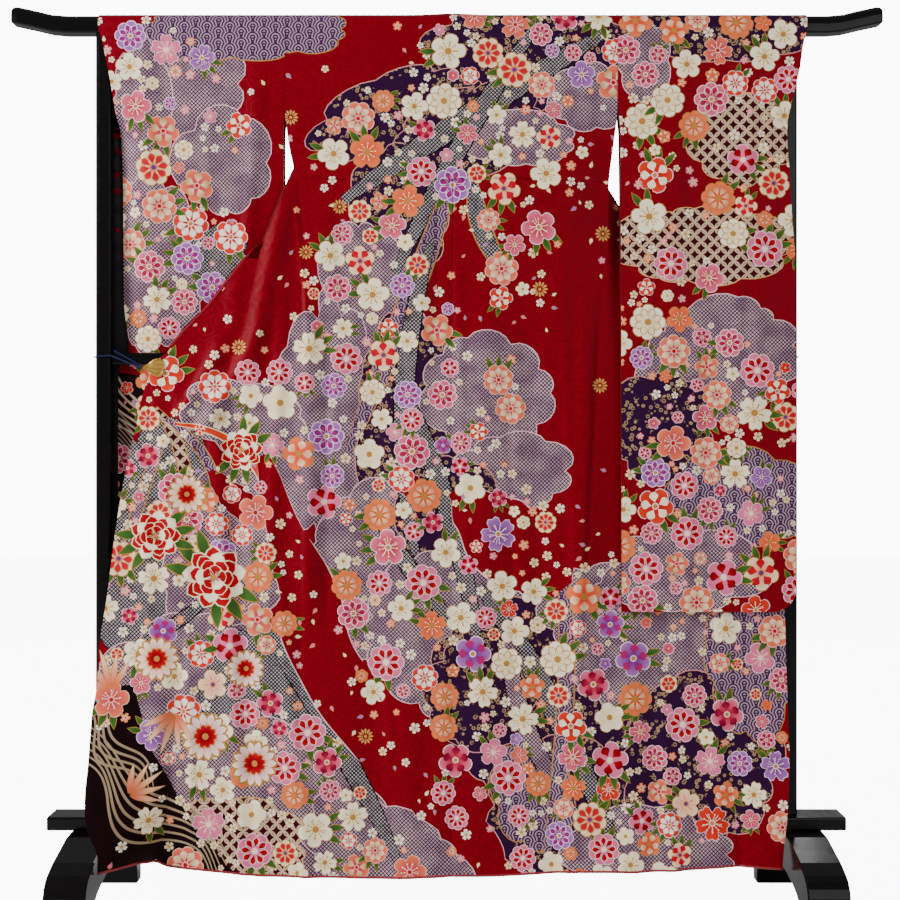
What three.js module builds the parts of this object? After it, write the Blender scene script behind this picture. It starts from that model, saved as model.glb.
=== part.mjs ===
import * as THREE from 'three';

// A long-sleeved furisode hung over a lacquered kimono stand, its back to the front (-Y) and its
// two front panels drawn out to the sides. Millimetres, +Z up, feet on z = 0, stand centred on x = 0.

const CLOTH = 2;              // cloth with its lining
const GAP = 0.3;              // between neighbouring pieces
const CENTRE = 9.6;           // centre back seam
const NECK_HALF = 89;         // half width of the neck opening
const NECK_DROP = 80;         // depth of the neck's arch behind the bar
const COLLAR = 52;            // collar band's width
const SLEEVE_BOTTOM = 590;
const CUFF_END = 1500;        // below this height a sleeve's outer edge is sewn shut
const ROLL = 2.2;             // radius of the padded hem roll
const CLEAR = CLOTH / 2 + GAP + 0.1; // from the bar to the middle of the cloth over it
const QUARTER = 30.5;         // length of that cloth from the bar's crest to its side
const BAR = { half: 842, depth: 16.9, low: 1705, spring: 1722, top: 1741, lift: 18, liftFrom: 735 };
const POST = { half: 15.5, left: -663.5, right: 661.5, bottom: 196.3 };
const MID_BAR = { low: 1065, high: 1088, half: 10 };
const BEAM = { low: 170, high: 196, half: 34, left: -767, right: 765 };
const FOOT = { inner: 643, width: 77 };

const RED = { color: 0x8f1420, roughness: 0.55, metalness: 0 };
const LINING = { color: 0xb3202c, roughness: 0.6, metalness: 0 };
const LACQUER = { color: 0x0b0a0c, roughness: 0.15, metalness: 0 };
const GOLD = { color: 0xc9a24a, roughness: 0.3, metalness: 1 };
const NAVY = { color: 0x1c2340, roughness: 0.8, metalness: 0 };

const part = new THREE.Group();
part.name = 'furisode_on_kimono_stand';

const mix = (a, b, t) => a + (b - a) * t;
const clamp = (t, low = 0, high = 1) => Math.min(high, Math.max(low, t));
const ease = (t) => clamp(t) ** 2 * (3 - 2 * clamp(t));
const steps = (n) => Array.from({ length: n + 1 }, (_, i) => i / n);

/** A smooth value of a table's column, read at `t` of its first column `z`, which falls. */
function look(table, column, t) {
  const rows = table.rows;
  const c = table.columns.indexOf(column);
  const last = rows.length - 1;
  if (t >= rows[0][0]) return rows[0][c];
  if (t <= rows[last][0]) return rows[last][c];
  let i = 0;
  while (rows[i + 1][0] > t) i += 1;
  const slope = (k) => (rows[k + 1][c] - rows[k][c]) / (rows[k + 1][0] - rows[k][0]);
  const tangent = (k) => {
    if (k === 0) return slope(0);
    if (k === last) return slope(last - 1);
    const [a, b] = [slope(k - 1), slope(k)];
    return a * b <= 0 ? 0 : (2 * a * b) / (a + b);
  };
  const h = rows[i + 1][0] - rows[i][0];
  const s = (t - rows[i][0]) / h;
  const start = (1 + 2 * s) * (1 - s) ** 2 * rows[i][c] + s * (1 - s) ** 2 * h * tangent(i);
  return start + s * s * (3 - 2 * s) * rows[i + 1][c] + s * s * (s - 1) * h * tangent(i + 1);
}

// Edges of the back and the drawn-out fronts, by height z. seam: side seam; fold: the slanting top
// edge of the drawn-out front; crease: its seam with the overlap panel; edge: its outer edge.
const LEFT = {
  sign: -1,
  seamTop: 1438,
  crossing: 1304,
  clipTop: 1086,
  collarEnd: 1096,
  shoulder: -312,
  sleeveEdge: -312.3,
  seam: { columns: ['z', 'x'], rows: [[1722, -311.8], [1560, -311.8], [1507, -307], [1476, -302],
    [1438, -294], [1390, -288], [1255, -277], [900, -279], [500, -281], [90, -284]] },
  fold: { columns: ['z', 'x'], rows: [[1438, -297], [1407, -311], [1387, -321], [1338, -340],
    [1302, -355.6], [1292, -363], [1258, -400], [1213, -434], [1188, -454], [1150, -488],
    [1131, -507], [1084, -548]] },
  crease: { columns: ['z', 'x'], rows: [[1302, -355.6], [1277, -360], [1240, -367], [1190, -377],
    [1142, -386], [1113, -398], [1060, -427], [1015, -454], [990, -466], [960, -475], [921, -481],
    [612, -494], [558, -502], [383, -520], [290, -528], [141, -545], [120, -554]] },
  edge: { columns: ['z', 'x'], rows: [[1084, -548], [1035, -575], [1002, -586], [967, -593],
    [933, -600], [862, -617], [785, -631], [710, -642], [612, -654], [556, -663], [503, -669],
    [460, -668], [390, -674], [312, -674], [269, -675], [217, -668], [190, -659], [168, -645],
    [152, -639.5], [120, -639]] },
  hem: { columns: ['x', 'z'], rows: [[0, 90], [-130, 85.6], [-284, 92], [-356, 94.5], [-414, 100],
    [-478, 107], [-531, 114], [-553, 124], [-586, 130], [-625, 128.5], [-645, 126]] },
  depth: { columns: ['z', 'seam', 'crease', 'edge'], rows: [[1722, 18.4, 24, 24], [1600, 23, 24, 24],
    [700, 25, 25, 25], [503, 28, 27, 30], [460, 29, 30, 40], [390, 31, 35, 60], [312, 36, 43, 85],
    [269, 39, 47, 100], [217, 43, 52, 130], [175, 47, 55, 145], [150, 50, 57, 152],
    [90, 56, 62, 158]] },
  clearBy: 1,
  side: { columns: ['z', 'x', 'y'], rows: [[1722, -312, 18.4], [1640, -312, 21], [1545, -312, 22],
    [1510, -300, 18], [1483, -290, 6], [1460, -288, -8], [1447, -291, -19], [1438, -294, -24]] },
  inner: { columns: ['z', 'x', 'y', 'h'], rows: [[1664, -80, 20, 1664], [1600, -88, 24, 1603],
    [1540, -108, 27, 1548], [1490, -140, 28, 1500], [1438, -190, 25, 1440], [1390, -247, 13, 1385],
    [1345, -308, -12, 1335], [1304, -349, -14, 1304]] },
};
const RIGHT = {
  sign: 1,
  seamTop: 1400,
  crossing: 1297,
  clipTop: 1086,
  collarEnd: 1125,
  shoulder: 328.6,
  sleeveEdge: 329.2,
  seam: { columns: ['z', 'x'], rows: [[1722, 328.6], [1560, 328.2], [1532, 326], [1490, 321],
    [1442, 315], [1400, 311], [1261, 302], [508, 263], [175, 255], [90, 254]] },
  fold: { columns: ['z', 'x'], rows: [[1400, 314], [1377, 333], [1297, 394], [1210, 471],
    [1084, 577]] },
  crease: { columns: ['z', 'x'], rows: [[1297, 394], [1270, 399], [1190, 412], [1110, 430],
    [1020, 470], [930, 495], [600, 508], [380, 528], [120, 556]] },
  edge: { columns: ['z', 'x'], rows: [[1084, 577], [1035, 596], [967, 615], [900, 626], [609, 650],
    [318, 655], [200, 645], [150, 637], [100, 632]] },
  hem: { columns: ['x', 'z'], rows: [[556, 112], [470, 106], [385, 101], [254, 99], [120, 92],
    [60, 90], [0, 90]] },
  depth: { columns: ['z', 'seam', 'crease', 'edge'], rows: [[1722, 18.4, -12, -12],
    [1600, 22, -12, -12], [1500, 20, -12, -12], [1400, 11, -12, -12], [1377, 12, -12, -12],
    [1297, 15, -2, -2], [1210, 19, 9, 9], [1100, 21, 14.5, 14.5], [700, 25, 16, 18.5],
    [503, 28, 19, 20], [300, 35, 31, 40], [217, 43, 42, 58], [175, 47, 47, 66], [90, 53, 56, 78]] },
  clearBy: 337,
  side: { columns: ['z', 'x', 'y'], rows: [[1722, 328.8, 18.4], [1600, 328.6, 21], [1560, 327, 22],
    [1530, 317, 20], [1500, 306, 14], [1470, 302, 4], [1440, 303, -4], [1412, 308, -9],
    [1400, 311, -11]] },
  inner: { columns: ['z', 'x', 'y', 'h'], rows: [[1664, 99, 20, 1664], [1600, 106, 24, 1603],
    [1540, 124, 27, 1548], [1490, 152, 28, 1500], [1430, 205, 28, 1440], [1380, 262, 25, 1385],
    [1335, 335, 18, 1330], [1297, 388, 12, 1297]] },
};
// Depth of the middle of the back in front of the bar's plane, and of the two sleeve layers.
const MIDDLE = { columns: ['z', 'y'], rows: [[1722, 18.4], [1600, 23], [700, 25], [503, 28],
  [300, 33.5], [200, 39], [90, 46]] };
const SLEEVES = {
  left: { sign: -1, inner: { columns: ['z', 'x'], rows: [[1722, -312.3], [1560, -312.3],
    [1507, -316], [1400, -316], [590, -306]] },
    outer: { columns: ['z', 'x', 'back'], rows: [[1742, -673, -673], [1715, -672, -672],
      [1692, -665, -665], [1624, -651, -651], [1551, -640, -640], [1513, -633, -633],
      [1385, -630, -630], [1191, -630, -630], [1094, -621, -621], [590, -618, -618]] },
    depth: { columns: ['z', 'front', 'back', 'cuff'], rows: [[1722, -18.4, 18.4, 18.4],
      [1690, -21, 21, 21], [1500, -9, 22, 22], [1300, 2, 23, 23], [1100, 12, 24, 24],
      [590, 12, 24, 24]] } },
  right: { sign: 1, inner: { columns: ['z', 'x'], rows: [[1722, 329.2], [1560, 329.2],
    [1507, 333], [590, 334]] },
    outer: { columns: ['z', 'x', 'back'], rows: [[1742, 695, 692], [1710, 693, 686],
      [1676, 685, 668], [1635, 679, 645], [1610, 673, 639], [1565, 662, 637], [1532, 655, 638],
      [1500, 654, 650], [1440, 658, 658], [1327, 664, 664], [1269, 668, 668], [590, 669, 669]] },
    depth: { columns: ['z', 'front', 'back', 'cuff'], rows: [[1722, -18.4, 18.4, 18.4],
      [1640, -23, 17, 21], [1600, -24, 14, 14], [1500, -26, 6, -19], [1400, -28, -2, -20],
      [1300, -31, -10, -21], [1200, -33, -17, -22], [1100, -36, -24, -26], [590, -38, -27, -28]] } },
};

/** Adds one closed piece of evenly thick cloth from a grid of points on its middle surface. */
function sheet(name, grid, colours = RED, thickness = CLOTH) {
  const [rows, columns] = [grid.length, grid[0].length];
  const at = (i, j) => grid[clamp(i, 0, rows - 1)][clamp(j, 0, columns - 1)];
  const normal = (i, j) => {
    const along = at(i + 1, j).clone().sub(at(i - 1, j));
    const across = at(i, j + 1).clone().sub(at(i, j - 1));
    return across.cross(along).normalize().multiplyScalar(thickness / 2);
  };
  const points = [];
  for (const side of [1, -1]) {
    for (let i = 0; i < rows; i += 1) {
      for (let j = 0; j < columns; j += 1) {
        points.push(at(i, j).clone().addScaledVector(normal(i, j), side));
      }
    }
  }
  const faces = [];
  const quad = (a, b, c, d) => faces.push(a, b, c, a, c, d);
  const front = (i, j) => i * columns + j;
  const back = (i, j) => rows * columns + i * columns + j;
  for (let i = 0; i < rows - 1; i += 1) {
    for (let j = 0; j < columns - 1; j += 1) {
      quad(front(i, j), front(i, j + 1), front(i + 1, j + 1), front(i + 1, j));
      quad(back(i, j), back(i + 1, j), back(i + 1, j + 1), back(i, j + 1));
    }
    quad(front(i, 0), front(i + 1, 0), back(i + 1, 0), back(i, 0));
    quad(front(i + 1, columns - 1), front(i, columns - 1), back(i, columns - 1), back(i + 1, columns - 1));
  }
  for (let j = 0; j < columns - 1; j += 1) {
    quad(front(0, j + 1), front(0, j), back(0, j), back(0, j + 1));
    quad(front(rows - 1, j), front(rows - 1, j + 1), back(rows - 1, j + 1), back(rows - 1, j));
  }
  addMesh(name, points, faces, colours);
}

/** Adds a mesh of numbered points and faces to the part. */
function addMesh(name, points, faces, colours) {
  const geometry = new THREE.BufferGeometry();
  const places = points.flatMap((p) => [p.x, p.y, p.z]);
  geometry.setAttribute('position', new THREE.Float32BufferAttribute(places, 3));
  geometry.setIndex(faces);
  geometry.computeVertexNormals();
  const mesh = new THREE.Mesh(geometry, new THREE.MeshStandardMaterial(colours));
  mesh.name = name;
  part.add(mesh);
}

/** Adds one closed body through a row of rings, each a list of points in the same order. */
function loft(name, rings, colours) {
  const n = rings[0].length;
  const points = rings.flat();
  const faces = [];
  for (let i = 0; i < rings.length - 1; i += 1) {
    for (let j = 0; j < n; j += 1) {
      const [a, b] = [i * n + j, i * n + ((j + 1) % n)];
      faces.push(a, b, b + n, a, b + n, a + n);
    }
  }
  for (const [ring, flip] of [[0, true], [rings.length - 1, false]]) {
    const centre = rings[ring].reduce((sum, p) => sum.add(p), new THREE.Vector3()).divideScalar(n);
    const hub = points.push(centre) - 1;
    for (let j = 0; j < n; j += 1) {
      const [a, b] = [ring * n + j, ring * n + ((j + 1) % n)];
      faces.push(...(flip ? [hub, b, a] : [hub, a, b]));
    }
  }
  addMesh(name, points, faces, colours);
}

/** Adds a round cord through a list of points. */
function tube(name, path, radius, colours, sides = 6) {
  const rings = path.map((p, i) => {
    const ahead = path[Math.min(i + 1, path.length - 1)].clone().sub(path[Math.max(i - 1, 0)]).normalize();
    const up = Math.abs(ahead.z) > 0.8 ? new THREE.Vector3(0, 1, 0) : new THREE.Vector3(0, 0, 1);
    const across = up.clone().cross(ahead).normalize();
    const over = ahead.clone().cross(across);
    return steps(sides).slice(0, sides).map((t) => p.clone()
      .addScaledVector(across, radius * Math.cos(t * 2 * Math.PI))
      .addScaledVector(over, radius * Math.sin(t * 2 * Math.PI)));
  });
  loft(name, rings, colours);
}

// ---- the body's surface ----------------------------------------------------------------------

/** Depth y of the outer cloth at x, z in front of the stand. */
function frontDepth(wear, x, z) {
  const out = wear.sign * x;
  const seam = wear.sign * look(wear.seam, 'x', z);
  const crease = Math.max(wear.sign * look(wear.crease, 'x', z), seam + 1);
  const edge = Math.max(wear.sign * look(wear.edge, 'x', z), crease + 1);
  const atSeam = look(wear.depth, 'seam', z);
  if (out <= seam) return -mix(look(MIDDLE, 'y', z), atSeam, ease(1 - (seam - out) / 90));
  const atCrease = look(wear.depth, 'crease', z);
  const reach = wear.clearBy > 1 ? wear.clearBy : crease;
  if (out <= crease) return -mix(atSeam, atCrease, ease((out - seam) / Math.max(reach - seam, 12)));
  const t = clamp((out - crease) / (edge - crease));
  return -mix(atCrease, look(wear.depth, 'edge', z), 1 - (1 - t) ** 1.4);
}

/** Soft vertical folds of the hanging cloth, in mm towards the front. */
function drape(x, z) {
  const low = clamp((1500 - z) / 900);
  const ridge = (at, width, size) => size * Math.exp(-(((x - at) / width) ** 2));
  return low * (ridge(-212 - 0.03 * (z - 900), 22, 5) + ridge(-150, 45, -3) + ridge(70, 40, 3.5)
    + ridge(165, 38, -3) + ridge(-60, 50, 3) + ridge(-405, 26, -4) + ridge(-440, 24, 3)
    + ridge(-590, 22, 3) + ridge(330, 30, 3) + ridge(430, 34, -3));
}

function onFront(wear, x, z) {
  return new THREE.Vector3(x, frontDepth(wear, x, z) - drape(x, z) * clamp((1300 - z) / 200), z);
}

/** The cloth's middle surface over the bar, at the angle turned from the front to the rear. */
function overBar(x, angle) {
  const hump = 3 * Math.exp(-(((x - CENTRE) / 45) ** 2)) * Math.sin(angle);
  const rise = (BAR.top - BAR.spring + CLEAR) * Math.sin(angle) + hump;
  return new THREE.Vector3(x, -(BAR.depth + CLEAR) * Math.cos(angle), BAR.spring + rise);
}

/** A point of the cloth laid over the bar: x, and the distance behind the crest. */
function behindBar(x, past) {
  if (past <= QUARTER) return overBar(x, (Math.PI / 2) * (1 + past / QUARTER));
  return new THREE.Vector3(x, BAR.depth + CLEAR, BAR.spring - (past - QUARTER));
}

/** The neck's inner edge x at a distance behind the bar's crest. */
function neckEdge(wear, past) {
  const t = clamp((past - ARCH[0]) / NECK_DROP);
  const start = CENTRE + wear.sign * GAP / 2;
  return start + wear.sign * (NECK_HALF - GAP / 2) * Math.sqrt(1 - (1 - t) ** 2);
}

/** Where cloth that turns back by `turn` about `radius` is after a length: along its last way, up. */
function turned(turn, radius, length) {
  const left = Math.max(turn - length / radius, 0);
  const straight = Math.max(length - turn * radius, 0);
  return [radius * (Math.sin(turn) - Math.sin(left)) + straight, radius * (Math.cos(left) - Math.cos(turn))];
}

/** The points of such a turn, in six steps. */
function turnBack(turn, radius) {
  return steps(6).map((t) => turned(turn, radius, t * turn * radius));
}

// Distances behind the crest of the rows about the neck, on the bar and below it.
const ARCH = [8, 10, 15, 22.7, 30.5];
const ARCH_LOW = [42, 60, 88.5];
const FRONT_COLUMNS = 3;
const TURN_COLUMNS = 3;
const REAR_COLUMNS = 3;

/** One row of a front: from the side seam, out to the fold, and back behind it to the inner edge. */
function frontRow(wear, z) {
  const s = wear.sign;
  const folded = z <= wear.seamTop;
  const line = [];
  const seamX = folded ? look(wear.seam, 'x', z) + s * GAP : look(wear.side, 'x', z);
  if (!folded) {
    const turnFrom = wear.side.rows[3][0] - 10;
    const turn = Math.PI * ease((turnFrom - z) / (turnFrom - wear.seamTop));
    const start = new THREE.Vector3(seamX, look(wear.side, 'y', z), z);
    for (const [a, b] of turnBack(turn, 2.5)) line.push(start.clone().add(new THREE.Vector3(-s * a, b, 0)));
  } else {
    const radius = mix(2.5, 5, ease((wear.seamTop - z) / 60));
    const foldX = look(wear.fold, 'x', Math.max(z, wear.crossing)) - s * radius;
    const endX = mix(foldX, look(wear.crease, 'x', z), ease((wear.crossing - z) / 24));
    const reach = Math.max(s * (endX - seamX), 0.5);
    for (const t of steps(8)) line.push(onFront(wear, seamX + s * reach * t, z));
    const turn = Math.PI * (1 - ease((wear.crossing - z) / 24));
    const start = line[line.length - 1];
    const bend = turn > 0.05 ? turnBack(turn, radius).slice(1) : [];
    for (const [a, b] of bend) line.push(start.clone().add(new THREE.Vector3(-s * a, b, 0)));
  }
  const bendEnd = line.length;
  if (z > wear.crossing) {
    const from = line[bendEnd - 1];
    const goal = innerEdge(wear, z);
    const slack = 16 * ease((1722 - z) / 200) * ease((z - wear.crossing - 50) / 90);
    for (const t of steps(10).slice(1)) {
      const p = from.clone().lerp(goal, t);
      p.y += slack * Math.sin(Math.PI * t);
      line.push(p);
    }
  }
  const length = [0];
  for (let i = 1; i < line.length; i += 1) length.push(length[i - 1] + line[i].distanceTo(line[i - 1]));
  const total = length[length.length - 1];
  const flat = folded ? length[8] : 0;
  const bend = length[bendEnd - 1];
  const count = FRONT_COLUMNS + TURN_COLUMNS + REAR_COLUMNS;
  const least = 1.6;
  const first = clamp(flat, FRONT_COLUMNS * least, total - (TURN_COLUMNS + REAR_COLUMNS) * least);
  const second = clamp(bend, first + TURN_COLUMNS * least, total - REAR_COLUMNS * least);
  const even = folded ? ease((wear.crossing - 24 - z) / 220) : ease((z - wear.seamTop) / 220);
  const row = [];
  for (let k = 0; k <= count; k += 1) {
    let at = (first * k) / FRONT_COLUMNS;
    if (k > FRONT_COLUMNS) at = mix(first, second, (k - FRONT_COLUMNS) / TURN_COLUMNS);
    if (k > FRONT_COLUMNS + TURN_COLUMNS) {
      at = mix(second, total, (k - FRONT_COLUMNS - TURN_COLUMNS) / REAR_COLUMNS);
    }
    at = mix(at, (total * k) / count, even);
    let i = 1;
    while (i < line.length - 1 && length[i] < at) i += 1;
    const t = (at - length[i - 1]) / Math.max(length[i] - length[i - 1], 0.001);
    row.push(line[i - 1].clone().lerp(line[i], t));
  }
  return row;
}

/** The inner edge of a front where it hangs behind the bar. */
function innerEdge(wear, z) {
  if (z > wear.inner.rows[0][0]) {
    const past = QUARTER + BAR.spring - z;
    return new THREE.Vector3(neckEdge(wear, past), mix(18.4, 20, ease((1722 - z) / 58)), z);
  }
  return new THREE.Vector3(look(wear.inner, 'x', z), look(wear.inner, 'y', z), look(wear.inner, 'h', z));
}

/** Height of a point on the front between the hem and `top`, at the share `t` from the hem. */
function aboveHem(wear, x, top, t) {
  return mix(look(wear.hem, 'z', x), top, t);
}
// Rows that a front and its overlap panel share: heights, and below the last one shares of it.
const LEVELS = [1268, 1230, 1180, 1125, 1096, 1080, 1040, 980, 900, 760, 600, 470, 370];
const REAR_LEVELS = [1603, 1545, 1505, 1470, 1450, 1438, 1420, 1395, 1365, 1335];
const LOW = LEVELS[LEVELS.length - 1];
const LOW_SHARES = [0.72, 0.46, 0.22, 0];
const HEM_LEVEL = 110;

function bodyGrid(wear) {
  const s = wear.sign;
  const count = FRONT_COLUMNS + TURN_COLUMNS + REAR_COLUMNS;
  const middle = CENTRE + s * GAP / 2;
  const grid = [];
  for (const t of [0, 0.05, 0.12, 0.22, 0.4, 0.6, 0.76, 0.83, 0.9, 1]) {
    const z = mix(90, BAR.spring, t);
    const side = look(wear.seam, 'x', z);
    grid.push(steps(count).map((u) => {
      const x = mix(side, middle, u);
      return onFront(wear, x, aboveHem(wear, x, BAR.spring, t));
    }));
  }
  for (const past of [-22.9, -15.2, -7.6, 0, ...ARCH]) {
    const edge = past < ARCH[0] ? middle : neckEdge(wear, past);
    grid.push(steps(count).map((u) => behindBar(mix(wear.shoulder, edge, u), past)));
  }
  for (const past of ARCH_LOW) grid.push(frontRow(wear, BAR.spring + QUARTER - past));
  for (const z of [...REAR_LEVELS, ...[0, 12, 24].map((drop) => wear.crossing - drop), ...LEVELS]) {
    grid.push(frontRow(wear, z));
  }
  for (const t of LOW_SHARES) {
    const row = frontRow(wear, mix(HEM_LEVEL, LOW, t));
    grid.push(row.map((p) => onFront(wear, p.x, aboveHem(wear, p.x, LOW, t))));
  }
  return grid;
}

// ---- the overlap panels, collar, sleeves and hem rolls ----------------------------------------

function overlapGrid(wear) {
  const s = wear.sign;
  const row = (z, t, low) => {
    const inner = look(wear.crease, 'x', z) + s * 3 * GAP;
    const slanting = z > wear.clipTop;
    const outer = slanting ? look(wear.fold, 'x', z) - s * 7.2 : look(wear.edge, 'x', z);
    return steps(5).map((u) => {
      const x = mix(inner, outer, u);
      const height = low ? aboveHem(wear, x, low, t) : z;
      const p = onFront(wear, x, height);
      p.y += 1.6 * (1 - ease(u * 4));
      return p;
    });
  };
  const low = [...LOW_SHARES].reverse().map((t) => row(mix(HEM_LEVEL, LOW, t), t, LOW));
  return [...low, ...[...LEVELS].reverse().map((z) => row(z, 0, 0))];
}

/** Stations of the collar: seam point, direction of its width, and how far it turns back. */
function collarStations() {
  const half = (wear) => {
    const s = wear.sign;
    const list = [];
    const add = (p, turn, gap) => list.push({ flat: [p.x, QUARTER + BAR.spring - p.z],
      lift: p.y - BAR.depth - CLEAR, turn, gap });
    for (const past of ARCH.slice(1)) {
      list.push({ flat: [neckEdge(wear, past), past], lift: 0.7, turn: 0, gap: 2 * GAP });
    }
    for (const past of ARCH_LOW) add(innerEdge(wear, BAR.spring + QUARTER - past), 0, 2 * GAP);
    for (const z of [...REAR_LEVELS, wear.crossing]) {
      const turn = (Math.PI / 2) * ease((1345 - z) / 45);
      const edge = innerEdge(wear, z);
      edge.y += 2 * turn;
      add(edge, turn, 1.2 + 1.2 * turn);
    }
    const bend = onFront(wear, look(wear.fold, 'x', wear.crossing - 12) + s * 3.2, wear.crossing - 12);
    bend.y += 6;
    add(bend, 2.2, 0);
    for (const z of LEVELS.filter((level) => level >= wear.collarEnd)) {
      add(onFront(wear, look(wear.fold, 'x', z) - s * 6, z), Math.PI, 0);
    }
    return list;
  };
  const top = { flat: [CENTRE, ARCH[0]], lift: 0.7, turn: 0, gap: 2 * GAP };
  return [...half(LEFT).reverse(), top, ...half(RIGHT)];
}

function collarGrid() {
  const list = collarStations();
  const last = list.length - 1;
  return list.map((station, i) => {
    const a = list[Math.max(i - 1, 0)].flat;
    const b = list[Math.min(i + 1, last)].flat;
    const size = Math.hypot(b[0] - a[0], b[1] - a[1]);
    const wide = [-(b[1] - a[1]) / size, (b[0] - a[0]) / size];
    return [0, 0.075, 0.15, 0.225, 0.3, 0.53, 0.76, 1].map((share) => {
      const [along, up] = turned(station.turn, 5, share * COLLAR);
      const shift = along + station.gap;
      const p = behindBar(station.flat[0] + wide[0] * shift, station.flat[1] + wide[1] * shift);
      return p.add(new THREE.Vector3(0, station.lift + up, 0));
    });
  });
}

function sleeveGrid(sleeve) {
  const s = sleeve.sign;
  const columns = [0, 0.2, 0.42, 0.64, 0.82, 0.93, 0.98, 1];
  const place = (u, z, rear) => {
    const inner = look(sleeve.inner, 'x', z);
    const outer = look(sleeve.outer, rear ? 'back' : 'x', z);
    const x = mix(inner, outer, u);
    const corner = 45 - Math.min(45, s * (outer - x));
    const bottom = SLEEVE_BOTTOM + 45 - Math.sqrt(45 ** 2 - corner ** 2);
    const front = look(sleeve.depth, 'front', z);
    const back = mix(look(sleeve.depth, 'back', z), look(sleeve.depth, 'cuff', z), ease(u));
    const shut = ease((CUFF_END + 60 - z) / 60) * ease(1 - (s * (outer - x)) / 34);
    const base = ease(1 - (z - SLEEVE_BOTTOM) / 30);
    const least = (CLOTH + GAP) / 2 + 0.1;
    const spread = mix((back - front) / 2, least, Math.max(shut, base));
    const fold = rear ? 0 : drape(x * 0.9, z) * 0.25 * (1 - shut) * (1 - base);
    return { x, y: (front + back) / 2 + (rear ? spread : -spread) - fold, bottom };
  };
  const grid = [];
  const heights = [590, 604, 625, 760, 950, 1100, 1250, 1400, 1480, 1530, 1570, 1620, 1670, 1722];
  const layer = (rear) => heights.map((level) => columns.map((u) => {
    const { x, y, bottom } = place(u, level, rear);
    const t = (level - SLEEVE_BOTTOM) / (BAR.spring - SLEEVE_BOTTOM);
    return new THREE.Vector3(x, y, mix(bottom, BAR.spring, t));
  }));
  grid.push(...layer(false));
  for (const t of steps(8).slice(1, 8)) {
    grid.push(columns.map((u) => overBar(mix(sleeve.sign < 0 ? LEFT.sleeveEdge : RIGHT.sleeveEdge,
      look(sleeve.outer, t > 0.5 ? 'back' : 'x', 1735), u), Math.PI * t)));
  }
  grid.push(...layer(true).reverse());
  return grid;
}

/** A rolled hem just under a row of cloth points. */
function hemRoll(name, row) {
  const path = row.map((p) => p.clone().add(new THREE.Vector3(0, 0, -ROLL - GAP)));
  const last = path.length - 1;
  path[0].lerp(path[1], 1.5 / path[0].distanceTo(path[1]));
  path[last].lerp(path[last - 1], 1.5 / path[last].distanceTo(path[last - 1]));
  tube(name, path, ROLL, LINING, 6);
}

const byX = (row) => (row[0].x < row[row.length - 1].x ? row : [...row].reverse());
for (const [label, wear] of [['left', LEFT], ['right', RIGHT]]) {
  const flip = (grid) => (wear.sign < 0 ? grid : grid.map((row) => [...row].reverse()));
  const body = bodyGrid(wear);
  sheet(`body_${label}`, flip(body));
  hemRoll(`hem_back_${label}`, byX(body[0]));
  hemRoll(`hem_front_${label}`, byX(body[body.length - 1]));
  const overlap = overlapGrid(wear);
  sheet(`overlap_${label}`, flip(overlap.map((row) => [...row].reverse())));
  hemRoll(`hem_overlap_${label}`, byX(overlap[0]));
  const sleeve = sleeveGrid(SLEEVES[label]);
  sheet(`sleeve_${label}`, flip(sleeve.map((row) => [...row].reverse())));
}
sheet('collar', collarGrid(), RED);

// ---- the stand ---------------------------------------------------------------------------------

/** A rounded rectangle in two coordinates, as a list of pairs turning counterclockwise. */
function roundedBox(low, high, radius, corner = 3) {
  const points = [];
  const corners = [[high[0], high[1], 0], [low[0], high[1], 90], [low[0], low[1], 180], [high[0], low[1], 270]];
  for (const [x, y, from] of corners) {
    const cx = x - Math.sign(x - (low[0] + high[0]) / 2) * radius;
    const cy = y - Math.sign(y - (low[1] + high[1]) / 2) * radius;
    for (const t of steps(corner)) {
      const angle = ((from + 90 * t) * Math.PI) / 180;
      points.push([cx + radius * Math.cos(angle), cy + radius * Math.sin(angle)]);
    }
  }
  return points;
}

/** The top bar: round above, its ends rising and rounded off. */
function topBar() {
  const section = [];
  for (const t of steps(10)) {
    const angle = Math.PI * t;
    section.push([BAR.depth * Math.cos(angle), BAR.spring + (BAR.top - BAR.spring) * Math.sin(angle)]);
  }
  for (const [y, z] of [[-1, 3], [-0.94, 0.8], [-0.8, 0], [0, 0], [0.8, 0], [0.94, 0.8], [1, 3]]) {
    section.push([BAR.depth * y, BAR.low + z]);
  }
  const end = BAR.half;
  const half = [735, 765, 800, end - 12, end - 4, end - 1, end];
  const stations = [...half.map((x) => -x).reverse(), ...half];
  const rings = stations.map((x) => {
    const lift = BAR.lift * ease((Math.abs(x) - BAR.liftFrom) / (end - BAR.liftFrom)) ** 1.2;
    const inset = end - Math.abs(x);
    const size = inset > 12 ? 1 : [0.72, 0.84, 0.94, 1][[0, 1, 4, 12].indexOf(inset)];
    const middle = (BAR.low + BAR.top) / 2;
    return section.map(([y, z]) => new THREE.Vector3(x, y * size, middle + (z - middle) * size + lift));
  });
  loft('top_bar', rings, LACQUER);
}

/** A bar along x with rounded long edges and softened ends; low and high are [y, z]. */
function straightBar(name, from, to, low, high, radius) {
  const rings = [[from, 1], [from + 1, 0], [to - 1, 0], [to, 1]].map(([x, inset]) => {
    const [y0, z0] = low.map((value) => value + inset);
    const [y1, z1] = high.map((value) => value - inset);
    return roundedBox([y0, z0], [y1, z1], radius - inset).map(([y, z]) => new THREE.Vector3(x, y, z));
  });
  loft(name, rings, LACQUER);
}

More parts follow.
